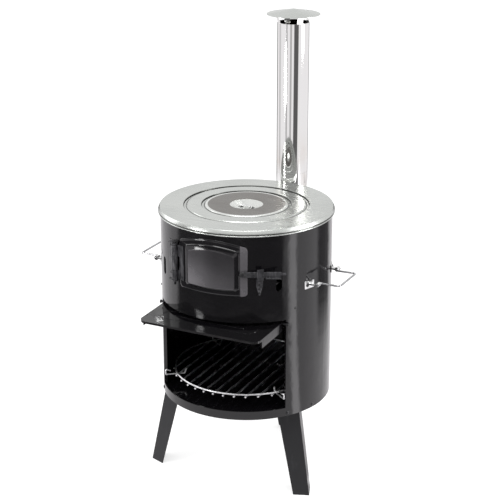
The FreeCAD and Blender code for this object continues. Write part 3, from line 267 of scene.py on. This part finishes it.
def make_world():
    """A white studio above the horizon, unlit low down in front of the stove."""
    world = bpy.data.worlds.new("studio")
    world.use_nodes = True
    bpy.context.scene.world = world
    tree = world.node_tree
    background = tree.nodes["Background"]
    background.inputs["Color"].default_value = (1, 1, 1, 1)
    x, y, z = axes_of(tree, tree.nodes.new("ShaderNodeTexCoord").outputs["Generated"])
    turn = azimuth_from_camera(tree, x, y)
    rise = product(tree, calc(tree, "ARCSINE", z), 180 / math.pi)
    dark = product(tree, between(tree, turn, *SKY_DARK_SECTOR, 6), fade(tree, rise, *SKY_DARK_TOP, 0.9, 0))
    tree.links.new(calc(tree, "SUBTRACT", 1.0, dark), background.inputs["Strength"])


def area_light(name, place, size, power):
    data = bpy.data.lights.new(name, "AREA")
    data.shape = "RECTANGLE"
    data.size = size[0]
    data.size_y = size[1]
    data.energy = power
    lamp = bpy.data.objects.new(name, data)
    lamp.location = place
    lamp.rotation_euler = (CAMERA_PIVOT - place).to_track_quat("-Z", "Y").to_euler()
    lamp.visible_camera = False
    bpy.context.scene.collection.objects.link(lamp)


def make_lights():
    area_light("soft_overhead", polar(1.0, 20, 2.7), (2.0, 0.8), 30)
    area_light("soft_left", polar(2.2, -86, 1.5), (0.9, 1.4), 9)
    area_light("soft_right", polar(2.4, 104, 1.2), (0.7, 1.4), 38)
    area_light("small_left", polar(2.4, -36, 1.36), (0.4, 0.24), 9)
    area_light("low_front", polar(1.9, -34, 0.5), (0.5, 0.2), 5)


# ---------------------------------------------------------------- materials

ENAMEL = (0.003, 0.0028, 0.0034)
ENAMEL_CLOUDS = [(0.0026, 0.0024, 0.003), (0.0044, 0.004, 0.0048)]
DOOR_ENAMEL = (0.004, 0.0037, 0.0045)
DOOR_PAINTED_SHEEN = (0.125, 0.118, 0.128)   # painted sheen: a grey reflection painted onto the door's pan and one margin
PAN_FACE = (0.2154, 0.2159)         # radii over which the door's raised pan begins
SHEEN_LEVELS = (0.555, 0.64)         # heights over which the painted sheen on the pan fades upwards
SHEEN_SIDES = (-0.045, 0.035)        # and the x over which it fades to the right
DOOR_MARGIN = (0.0808, 0.0962)      # x of the flat margin beside the pan, on the latch's side, which has the painted sheen too
PLATE_LIGHT = (0.56, 0.575, 0.555)
PLATE_DARK = (0.49, 0.505, 0.488)
HIGHLIGHT_STEEL = (0.72, 0.73, 0.71)   # painted highlight: brighter steel in the lid's cup and round its rim
# painted reflection: a darker brown-grey over the centre lid's flat
DARK_REFLECTION_STEEL = (0.14, 0.128, 0.117)
DARK_REFLECTION_ZONE = (0.0405, 0.0945)      # radii on the centre lid of the painted reflection
# radii of the painted highlight round the lid's rim
HIGHLIGHT_ZONE = (0.0945, 0.1012)
LID_SLOT_REACH = (0.0085, 0.0205)   # the lifting bar's two slots, from the middle of the cup
LID_SLOT_HALF = (0.0061, 0.0069)    # half their width, with its soft edge
# painted shade that stands for the lifting bar's slots
SLOT_SHADE = (0.002, 0.002, 0.002)
SEAT_SHADE_RINGS = [0.1029, 0.1094, 0.1467, 0.1528]      # radii along the seats' edges where shade is painted as thin dark rings
SEAT_SHADE_HALF = 0.001
# the colour of the painted shade in the hob's seats and groove
CREVICE_SHADE = (0.03, 0.029, 0.027)
GROOVE_LEVELS = (0.6828, 0.6858)    # heights of the groove between the hob's bead and its shoulder, painted dark as shade
HOB_EDGE = (0.204, 0.208)           # radii past which a height tells that groove
POLISHED = (0.8, 0.8, 0.79)
HEAT_TINT = (0.66, 0.55, 0.45)
HEAT_LEVELS = (0.66, 0.84)          # heights over which the flue's heat tint fades


def surface(name, colour, metallic=0.0):
    """A Principled material; returns it with its tree, its shader and its object-space position socket."""
    material, tree, output = new_material(name)
    shader = tree.nodes.new("ShaderNodeBsdfPrincipled")
    shader.inputs["Base Color"].default_value = (*colour, 1)
    shader.inputs["Metallic"].default_value = metallic
    tree.links.new(shader.outputs[0], output.inputs[0])
    place = tree.nodes.new("ShaderNodeTexCoord").outputs["Object"]
    return material, tree, shader, place


def enamel():
    """Fired black enamel: deep gloss, a faint orange peel and a little dust in the gloss."""
    material, tree, shader, place = surface("enamel_black", ENAMEL)
    cloud = noise(tree, place, 9, 4)
    specks = noise(tree, place, 420, 2)
    gloss = fade(tree, cloud, 0.35, 0.7, 0.07, 0.13)
    dust = fade(tree, specks, 0.66, 0.74, 0, 0.18)
    tree.links.new(calc(tree, "ADD", gloss, dust), shader.inputs["Roughness"])
    tree.links.new(tint(tree, cloud, *ENAMEL_CLOUDS), shader.inputs["Base Color"])
    bump(tree, shader, noise(tree, place, 26, 2), 0.0006)
    bump(tree, shader, noise(tree, place, 240, 2), 0.00004)
    return material


def door_enamel():
    """The fire door's enamel: glossy on its edges, with a grey painted reflection on the pan and on one
    margin.
    """
    material, tree, shader, place = surface("door_enamel", DOOR_ENAMEL)
    grain = noise(tree, place, 520, 3)
    haze = noise(tree, place, 13, 4)
    across, _, level = axes_of(tree, place)
    raised = fade(tree, from_axis(tree, place), *PAN_FACE)
    # Painted reflection: a grey sheen on the pan, fading upwards and to the right, and on one margin
    low_down = fade(tree, level, *SHEEN_LEVELS, 1.0, 0.35)
    pan_sheen = product(tree, raised, low_down, fade(tree, across, *SHEEN_SIDES, 1.0, 0.42))
    beside_pan = calc(tree, "SUBTRACT", 1.0, raised)
    margin = product(tree, 0.75, between(tree, across, *DOOR_MARGIN, 0.0012), beside_pan)
    painted_sheen = product(tree, calc(tree, "ADD", pan_sheen, margin), fade(tree, haze, 0.2, 0.75, 0.75, 1.0),
                   fade(tree, grain, 0.25, 0.75, 0.8, 1.0))
    tree.links.new(tint(tree, painted_sheen, DOOR_ENAMEL, DOOR_PAINTED_SHEEN), shader.inputs["Base Color"])
    rough = calc(tree, "ADD", fade(tree, haze, 0.3, 0.7, 0.07, 0.12), product(tree, painted_sheen, 0.3))
    tree.links.new(rough, shader.inputs["Roughness"])
    bump(tree, shader, grain, 0.00003)
    return material


def satin():
    """The satin black coating on folded steel: fine grain and pale rubbed spots."""
    material, tree, shader, place = surface("satin_black", (0.011, 0.011, 0.0125))
    cloud = noise(tree, place, 14, 5)
    rubs = noise(tree, place, 60, 6, (1, 1, 0.35))
    colour = tint(tree, fade(tree, rubs, 0.6, 0.85), (0.01, 0.01, 0.0115), (0.028, 0.028, 0.031))
    tree.links.new(colour, shader.inputs["Base Color"])
    tree.links.new(fade(tree, cloud, 0.3, 0.7, 0.34, 0.48), shader.inputs["Roughness"])
    shader.inputs["Specular IOR Level"].default_value = 0.34
    bump(tree, shader, noise(tree, place, 900, 2), 0.00003)
    return material


def rubbed_black():
    """The black coating on the door's ironwork, gone grey where hands and heat have rubbed it."""
    material, tree, shader, place = surface("rubbed_black", (0.02, 0.02, 0.0225))
    cloud = noise(tree, place, 30, 5)
    scratches = noise(tree, place, 190, 5, (1, 1, 0.3))
    wear = product(tree, fade(tree, cloud, 0.3, 0.7, 0.3, 1.0), fade(tree, scratches, 0.35, 0.75))
    tree.links.new(tint(tree, wear, (0.013, 0.013, 0.015), (0.085, 0.083, 0.09)), shader.inputs["Base Color"])
    tree.links.new(fade(tree, cloud, 0.3, 0.7, 0.26, 0.4), shader.inputs["Roughness"])
    bump(tree, shader, scratches, 0.00003)
    return material


def plate_steel(name):
    """Galvanised sheet: fine lines along X, cloudy zinc, and painted shade round the seats and in the hob's
    groove.

    Returns the colour's socket as well, so that another finish can be laid over it.
    """
    material, tree, shader, place = surface(name, PLATE_LIGHT, 1.0)
    lines = noise(tree, place, 180, 3, (0.06, 1, 1))
    cloud = noise(tree, place, 12, 5)
    spangle = add(tree, "ShaderNodeTexVoronoi", Vector=place, Scale=70.0).outputs["Color"]
    patches = add(tree, "ShaderNodeSeparateColor", i0=spangle).outputs[0]
    shade = calc(tree, "ADD", product(tree, cloud, 0.6), product(tree, lines, 0.4))
    clean = tint(tree, fade(tree, shade, 0.35, 0.7), PLATE_LIGHT, PLATE_DARK)
    rough = calc(tree, "ADD", fade(tree, lines, 0.3, 0.7, 0.25, 0.29), product(tree, patches, 0.02))
    tree.links.new(rough, shader.inputs["Roughness"])
    bump(tree, shader, noise(tree, place, 4, 1), 0.0002)
    radius = from_axis(tree, place)
    # Painted shade: dark rings along the seats' edges and a dark band in the hob's groove
    crevice_shade = 0.0
    for ring in SEAT_SHADE_RINGS:
        crevice_shade = calc(tree, "ADD", crevice_shade, between(tree, radius, ring - SEAT_SHADE_HALF, ring + SEAT_SHADE_HALF, 0.0004))
    level = axes_of(tree, place)[2]
    groove = product(tree, between(tree, level, *GROOVE_LEVELS, 0.0003), fade(tree, radius, *HOB_EDGE))
    crevice_shade = calc(tree, "ADD", crevice_shade, groove)
    colour = tint(tree, product(tree, crevice_shade, 0.85), clean, CREVICE_SHADE)
    tree.links.new(colour, shader.inputs["Base Color"])
    return material, tree, shader, place, colour


def lid_steel():
    """The centre lid: plate steel with a painted reflection, a darker brown-grey, over its flat, and a
    painted highlight, brighter steel, in its cup and round its rim.

    The lifting bar's two slots are painted shade here, a dark colour, not holes: about 12 by 13 mm,
    where the CAD lid has holes of 9 by 8 mm.
    """
    material, tree, shader, place, colour = plate_steel("lid_steel")
    radius = from_axis(tree, place)
    # Painted reflection: darker brown-grey over the flat. Painted highlight: brighter steel in the cup and
    # round the rim
    dark_reflection = between(tree, radius, *DARK_REFLECTION_ZONE, 0.0009)
    uneven = fade(tree, noise(tree, place, 22, 5), 0.2, 0.8, 0.9, 1.0)
    cup = fade(tree, radius, DARK_REFLECTION_ZONE[0] - 0.001, DARK_REFLECTION_ZONE[0] + 0.001, 1, 0)
    rubbed = calc(tree, "ADD", cup, between(tree, radius, *HIGHLIGHT_ZONE, 0.0009))
    bright = tint(tree, rubbed, colour, HIGHLIGHT_STEEL)
    with_dark_reflection = tint(tree, product(tree, dark_reflection, uneven), bright, DARK_REFLECTION_STEEL)
    # Painted shade: the slots are a dark colour where the CAD lid has holes
    x, y, _ = axes_of(tree, place)
    along = between(tree, calc(tree, "ABSOLUTE", x), *LID_SLOT_REACH, 0.0004)
    across = fade(tree, calc(tree, "ABSOLUTE", y), *LID_SLOT_HALF, 1, 0)
    with_slot_shade = tint(tree, product(tree, along, across), with_dark_reflection, SLOT_SHADE)
    tree.links.new(with_slot_shade, shader.inputs["Base Color"])
    return material


def polished_steel():
    """Mirror-polished stainless sheet with faint lengthwise polishing lines and a warm heat tint low down."""
    material, tree, shader, place = surface("polished_steel", POLISHED, 1.0)
    lines = noise(tree, place, 260, 3, (1, 1, 0.02))
    level = axes_of(tree, place)[2]
    patches = fade(tree, noise(tree, place, 11, 3), 0.4, 0.75)
    warm = product(tree, fade(tree, level, *HEAT_LEVELS, 1, 0), patches)
    tree.links.new(tint(tree, warm, POLISHED, HEAT_TINT), shader.inputs["Base Color"])
    tree.links.new(fade(tree, lines, 0.3, 0.7, 0.035, 0.075), shader.inputs["Roughness"])
    bump(tree, shader, noise(tree, place, 18, 2, (1, 1, 0.25)), 0.00005)
    return material


def bright_metal(name, colour, rough_low, rough_high):
    """Plated wire or fasteners: small scratches and dull patches."""
    material, tree, shader, place = surface(name, colour, 1.0)
    scratches = noise(tree, place, 300, 4, (1, 0.15, 1))
    cloud = noise(tree, place, 45, 3)
    tree.links.new(fade(tree, scratches, 0.3, 0.75, rough_low, rough_high), shader.inputs["Roughness"])
    darker = tuple(channel * 0.78 for channel in colour)
    tree.links.new(tint(tree, fade(tree, cloud, 0.4, 0.7), colour, darker), shader.inputs["Base Color"])
    bump(tree, shader, scratches, 0.00002)
    return material


def cast_black():
    """Heat-resistant black plate: matt, pitted and a little ashy."""
    material, tree, shader, place = surface("cast_black", (0.03, 0.03, 0.03))
    pits = noise(tree, place, 160, 6)
    ash = noise(tree, place, 18, 5)
    tree.links.new(tint(tree, fade(tree, ash, 0.5, 0.8), (0.02, 0.02, 0.021), (0.07, 0.066, 0.062)),
                   shader.inputs["Base Color"])
    tree.links.new(fade(tree, pits, 0.3, 0.7, 0.6, 0.85), shader.inputs["Roughness"])
    bump(tree, shader, pits, 0.0004)
    return material


MATERIALS = {
    "enamel_black": enamel(),
    "satin_black": satin(),
    "door_enamel": door_enamel(),
    "plate_steel": plate_steel("plate_steel")[0],
    "lid_steel": lid_steel(),
    "polished_steel": polished_steel(),
    "chrome_wire": bright_metal("chrome_wire", (0.5, 0.5, 0.51), 0.05, 0.2),
    "rubbed_black": rubbed_black(),
    "grate_wire": bright_metal("grate_wire", (0.82, 0.82, 0.83), 0.26, 0.56),
    "zinc": bright_metal("zinc", (0.78, 0.78, 0.78), 0.1, 0.26),
    "cast_black": cast_black(),
}
# Where a finish isn't its slot's own
NODE_MATERIALS = {
    "fire_door": "door_enamel", "centre_lid": "lid_steel", "lifting_bar": "zinc", "rain_cap": "plate_steel",
    "latch_lever": "rubbed_black", "latch_keeper": "rubbed_black", "hinge_bracket": "rubbed_black",
    "door_hinge_leaf": "rubbed_black", "grate_ring": "grate_wire", "grate_bars": "grate_wire",
    "grate_hooks": "grate_wire",
}


def finish_of(node):
    return MATERIALS[NODE_MATERIALS.get(node, NODE_SLOTS[node])]


# ---------------------------------------------------------------- making pieces

SHARP_ANGLE = math.radians(35)
WELD = 0.005 * MM           # vertices nearer than this are one
RING_WELD = 0.001 * MM      # the same for a turned ring, whose profile has finer points
FLAT_ANGLE = math.radians(0.8)      # faces that turn less than this are one
TURN_STEPS = 180            # round each turned ring


def piece_from(shape, name, node):
    """Turn a bmesh into a finished piece that stands for a CAD node and rides on its body."""
    mesh = bpy.data.meshes.new(name)
    bmesh.ops.recalc_face_normals(shape, faces=shape.faces)
    shape.to_mesh(mesh)
    shape.free()
    mesh.shade_smooth()
    mesh.set_sharp_from_angle(angle=SHARP_ANGLE)
    mesh.materials.append(finish_of(node))
    piece = bpy.data.objects.new(name, mesh)
    bpy.context.scene.collection.objects.link(piece)
    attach(piece, BODY_OF_NODE[node])
    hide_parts(node)
    shading = piece.modifiers.new("flat_faces_stay_flat", "WEIGHTED_NORMAL")
    shading.keep_sharp = True
    return piece


def softened(node, radius):
    """A copy of a CAD node's form with its sharp edges rounded, as folded or deburred sheet has them."""
    shape = bmesh.new()
    shape.from_mesh(NODES[node].data)
    bmesh.ops.remove_doubles(shape, verts=shape.verts, dist=WELD)
    bmesh.ops.dissolve_limit(shape, angle_limit=FLAT_ANGLE, verts=shape.verts, edges=shape.edges)
    sharp = [edge for edge in shape.edges
             if len(edge.link_faces) == 2 and edge.calc_face_angle(0) > SHARP_ANGLE]
    bmesh.ops.bevel(shape, geom=sharp, offset=radius, segments=2, profile=0.5,
                    affect="EDGES", clamp_overlap=True)
    return piece_from(shape, f"{node}_rounded", node)


def loft(shape, loops, closed=False):
    """Join loops of points into a skin; closed also joins the last loop to the first."""
    rows = [[shape.verts.new(point) for point in loop] for loop in loops]
    pairs = list(zip(rows, rows[1:]))
    if closed:
        pairs.append((rows[-1], rows[0]))
    for first, second in pairs:
        count = len(first)
        for i in range(count):
            j = (i + 1) % count
            shape.faces.new((first[i], first[j], second[j], second[i]))
    return rows


def arc(centre, radius, start, end, steps=5):
    """Points along an arc in a (radius, height) profile; angles in degrees from outwards, up positive."""
    turns = [math.radians(start + (end - start) * i / steps) for i in range(steps + 1)]
    return [(centre[0] + radius * math.cos(turn), centre[1] + radius * math.sin(turn)) for turn in turns]


def turned(name, node, profile):
    """A ring turned about the vertical from its closed (radius, height) profile."""
    shape = bmesh.new()
    loops = []
    for i in range(TURN_STEPS):
        turn = 2 * math.pi * i / TURN_STEPS
        loops.append([(radius * math.cos(turn), radius * math.sin(turn), height)
                      for radius, height in profile])
    loft(shape, loops, closed=True)
    bmesh.ops.remove_doubles(shape, verts=shape.verts, dist=RING_WELD)
    return piece_from(shape, name, node)


# ---------------------------------------------------------------- hob

SHEET = 1.5 * MM            # the hob plates' sheet
HOB_STEP = 4.5 * MM         # how deep each plate's seat lies under the one level top
SEAT_GAP = 0.4 * MM         # between a plate's lip and the wall of its seat
SEAT_WIDTH = 6.5 * MM
SEAT_ROUND = 1.4 * MM       # the rounded edge above each seat
BEAD = 1.5 * MM             # radius of the roll at the foot of the hob's skirt
SKIRT_WIDTH = 2.2 * MM      # from the middle of the bead in to the skirt's inner face
GROOVE_DEPTH = 1.7 * MM     # from the middle of the bead in to the groove's floor
GROOVE_HEIGHTS = (3.1 * MM, 5.4 * MM)       # above the skirt's foot
SHOULDER_LEVEL = 7.2 * MM   # of the shoulder's middle, above the skirt's foot
SHOULDER_ROUND = 1.2 * MM
EDGE_ROUND = 2.4 * MM       # where the hob's flat top turns down
EDGE_INSET = 4.3 * MM
RIM_WIDTH = 6.6 * MM        # a nested plate's flat rim, from its edge in to the rise
RISE_ROUND = 2 * MM         # where a nested plate's rise turns into its flat top
RISE_INSET = 3.6 * MM
LID_FLAT = (70 * MM, 0.3 * MM)      # a radius on the lid's flat, and how far it has dished there
CUP_EDGE = 42.5 * MM        # where the lid's flat turns down into the cup
CUP_ROUND = 2.4 * MM
CUP_FOOT = (25.5 * MM, 22.5 * MM)   # radii between which the cup's wall meets its floor


def thickened(top_line, sheet):
    """A closed profile: a line of points from outside to inside, and the same line one sheet lower."""
    return top_line + [(radius, height - sheet) for radius, height in reversed(top_line)]


def seat_lines(seat, top):
    """The rounded edge and the step of a seat for the next plate, from outside to inside."""
    line = arc((seat + SEAT_ROUND, top - SEAT_ROUND), SEAT_ROUND, 90, 180, 4)
    return line + [(seat, top - HOB_STEP), (seat - SEAT_WIDTH, top - HOB_STEP)]


def hob_plate():
    """The outer plate: rolled lower bead, groove, round shoulder, flat top and the seat for the ring."""
    low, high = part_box("top_plate")
    rim = high.x - BEAD
    top = high.z
    wall = rim - SKIRT_WIDTH
    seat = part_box("cooking_ring")[1].x + SEAT_GAP
    line = [(wall, low.z + BEAD)] + arc((rim, low.z + BEAD), BEAD, -90, 90, 9)
    line += [(rim - GROOVE_DEPTH, low.z + height) for height in GROOVE_HEIGHTS]
    line += arc((rim, low.z + SHOULDER_LEVEL), SHOULDER_ROUND, -80, 20, 5)
    line += [(rim - 0.3 * MM, top - 4.6 * MM)]
    line += arc((rim - EDGE_INSET, top - EDGE_ROUND), EDGE_ROUND, 35, 90, 7)
    line += seat_lines(seat, top)
    inner = line[-1][0]
    under = [(inner, top - HOB_STEP - SHEET), (seat + SHEET, top - HOB_STEP - SHEET)]
    under += [(seat + SHEET, top - SHEET), (rim - 5 * MM, top - SHEET)]
    under += [(rim - 2.7 * MM, top - 1.45 * MM), (wall, top - 3 * MM)]
    return turned("hob_plate_pressing", "top_plate", line + under)


def nested_line(node):
    """A nested plate's rim and rolled rise, up to its flat top.

    Once thickened, the rim's outermost corner dips a little into the seat that it rests on.
    """
    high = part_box(node)[1]
    rim = high.x
    seat = high.z - HOB_STEP
    rise = rim - RIM_WIDTH
    line = [(rim, seat + 0.6 * MM), (rim - 0.5 * MM, seat + SHEET)]
    line += [(rise + 0.8 * MM, seat + SHEET), (rise, seat + SHEET + 0.3 * MM)]
    line += arc((rise - RISE_INSET, high.z - RISE_ROUND), RISE_ROUND, 45, 90, 5)
    return line


def cooking_ring():
    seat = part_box("centre_lid")[1].x + SEAT_GAP
    line = nested_line("cooking_ring") + seat_lines(seat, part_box("cooking_ring")[1].z)
    return turned("cooking_ring_pressing", "cooking_ring", thickened(line, SHEET))


def centre_lid():
    """The centre lid, dished a little, with its cup for the lifting bar."""
    low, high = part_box("centre_lid")
    cup = low.z + SHEET
    line = nested_line("centre_lid")
    line += [(LID_FLAT[0], high.z - LID_FLAT[1])]
    line += arc((CUP_EDGE, high.z - 2.9 * MM), CUP_ROUND, 90, 150, 5)
    line += [(CUP_FOOT[0], cup + 0.8 * MM), (CUP_FOOT[1], cup), (0.01 * MM, cup)]
    return turned("centre_lid_pressing", "centre_lid", thickened(line, SHEET))


# ---------------------------------------------------------------- fire door

DOOR_TURN = 2.8             # azimuth of the door's middle
DOOR_INSIDE = 210.6 * MM    # radius of its inner face
DOOR_SKIN = 1.4 * MM
DOOR_HALF = 87 * MM
DOOR_ARCH = 16 * MM         # how much higher the door's top is in its middle
DOOR_CORNER = 10 * MM
PAN_HALF = 70 * MM
PAN_MARGIN = (12 * MM, 13 * MM)     # below and above the raised pan
PAN_RISE = 4 * MM
BEVEL_WIDTH = 13 * MM       # of the pan's soft edge, at its sides and top
BEVEL_FOOT = 0.6            # its width at the bottom, as a share of that
PAN_ARCH = DOOR_ARCH - 4 * MM
CORNER_SHRINK = 0.4         # how much the pan's corners lose for each step inwards
CORNER_LEAST = 3 * MM
# The rolled edge: millimetres in from the door's outline, and the share of the skin it is set back
ROLL_ROWS = [(0, 1.0), (0.6, 0.62), (1.6, 0.32), (3, 0.1), (5, 0)]
# The pan's soft edge: share of the bevel's width, and share of the pan's rise
BEVEL_ROWS = [(0, 0), (0.03, 0.1), (0.08, 0.3), (0.14, 0.44), (0.22, 0.53), (0.5, 0.73), (0.8, 0.92),
              (0.92, 0.98), (1, 1)]
PAN_SHARES = [0.93, 0.8, 0.6, 0.4, 0.2, 0.04]       # ever smaller outlines that fill the pan's middle
CORNER_STEPS = 6            # steps round each corner, up each side and along the arch of an outline
SIDE_STEPS = 10
ARCH_STEPS = 24


def door_loop(half, bottom, top, rise, corner, radius):
    """The door's outline, or one parallel to it, on a cylinder about the drum's axis."""
    bend = (half * half + rise * rise) / (2 * rise)

    def crown(x):
        return top - bend + math.sqrt(bend * bend - x * x)

    shoulder = crown(half - corner)
    quarter = [math.radians(90 * i / CORNER_STEPS) for i in range(CORNER_STEPS + 1)]
    straight = shoulder - bottom - 2 * corner
    side = [(half - corner + corner * math.sin(turn), bottom + corner - corner * math.cos(turn))
            for turn in quarter]
    side += [(half, bottom + corner + straight * i / SIDE_STEPS) for i in range(1, SIDE_STEPS)]
    side += [(half - corner + corner * math.cos(turn), shoulder - corner + corner * math.sin(turn))
             for turn in quarter]
    evenly = [1 - 2 * i / ARCH_STEPS for i in range(1, ARCH_STEPS)]
    arch = [(half - corner) * share for share in evenly]
    floor = [(corner - half) * share for share in evenly]
    outline = side + [(x, crown(x)) for x in arch] + [(-x, z) for x, z in reversed(side)]
    outline += [(x, bottom) for x in floor]
    tilt = math.radians(DOOR_TURN)
    points = []
    for x, z in outline:
        depth = math.sqrt(radius * radius - x * x)
        points.append((x * math.cos(tilt) + depth * math.sin(tilt),
                       x * math.sin(tilt) - depth * math.cos(tilt), z))
    return points


def pan_corner(step):
    """The radius of the pan's corners this far inside its outline."""
    return max(DOOR_CORNER - CORNER_SHRINK * step, CORNER_LEAST)


def door_side(outer, roll):
    """Loops over one face of the door, from its edge to the pan's middle; roll sets its edge back."""
    low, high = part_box("fire_door")
    loops = []
    for inset, drop in ROLL_ROWS:
        step = inset * MM
        corner = max(DOOR_CORNER - step, CORNER_LEAST)
        loops.append(door_loop(DOOR_HALF - step, low.z + step, high.z - step, DOOR_ARCH, corner,
                               outer - drop * roll))
    foot = low.z + PAN_MARGIN[0]
    head = high.z - PAN_MARGIN[1]
    for share, rise in BEVEL_ROWS:
        step = share * BEVEL_WIDTH
        loops.append(door_loop(PAN_HALF - step, foot + step * BEVEL_FOOT, head - step, PAN_ARCH,
                               pan_corner(step), outer + rise * PAN_RISE))
    half = PAN_HALF - BEVEL_WIDTH
    foot += BEVEL_WIDTH * BEVEL_FOOT
    head -= BEVEL_WIDTH
    middle = (foot + head) / 2
    for share in PAN_SHARES:
        bottom = middle + (foot - middle) * share
        top = middle + (head - middle) * share
        loops.append(door_loop(half * share, bottom, top, PAN_ARCH * share,
                               pan_corner(BEVEL_WIDTH) * share, outer + PAN_RISE))
    return loops


def fire_door():
    """The pressed door: a rolled edge, a flat margin, a wide soft bevel and a raised pan, hollow behind."""
    outer = DOOR_INSIDE + DOOR_SKIN
    shape = bmesh.new()
    front = door_side(outer, DOOR_SKIN)
    back = door_side(DOOR_INSIDE, 0)
    rows = loft(shape, front[::-1] + back)
    shape.faces.new(rows[0])
    shape.faces.new(rows[-1])
    return piece_from(shape, "fire_door_pressing", "fire_door")


# ---------------------------------------------------------------- assembly

# CAD nodes whose sharp edges are rounded, by this many millimetres
SOFTENED = {
    "leg_front_left": 1.1, "leg_front_right": 1.1, "leg_rear": 1.1,
    "hinge_bracket": 0.35, "door_hinge_leaf": 0.35, "hinge_pin": 0.5,
    "latch_lever": 0.5, "latch_keeper": 0.45, "flap_plate": 0.4, "flap_hinge_rod": 0.5,
    "handle_bracket_right_front": 0.4, "handle_bracket_right_rear": 0.4,
    "handle_bracket_left_front": 0.4, "handle_bracket_left_rear": 0.4,
    "lifting_bar": 0.5, "cap_struts": 0.3, "leg_nuts": 0.6, "handle_nuts": 0.6,
}

make_camera()
make_floor()
make_world()
make_lights()
hob_plate()
cooking_ring()
centre_lid()
fire_door()
for node_name, edge_radius in SOFTENED.items():
    softened(node_name, edge_radius * MM)
for node_name, cad_piece in NODES.items():
    for slot in cad_piece.material_slots:
        slot.material = finish_of(node_name)
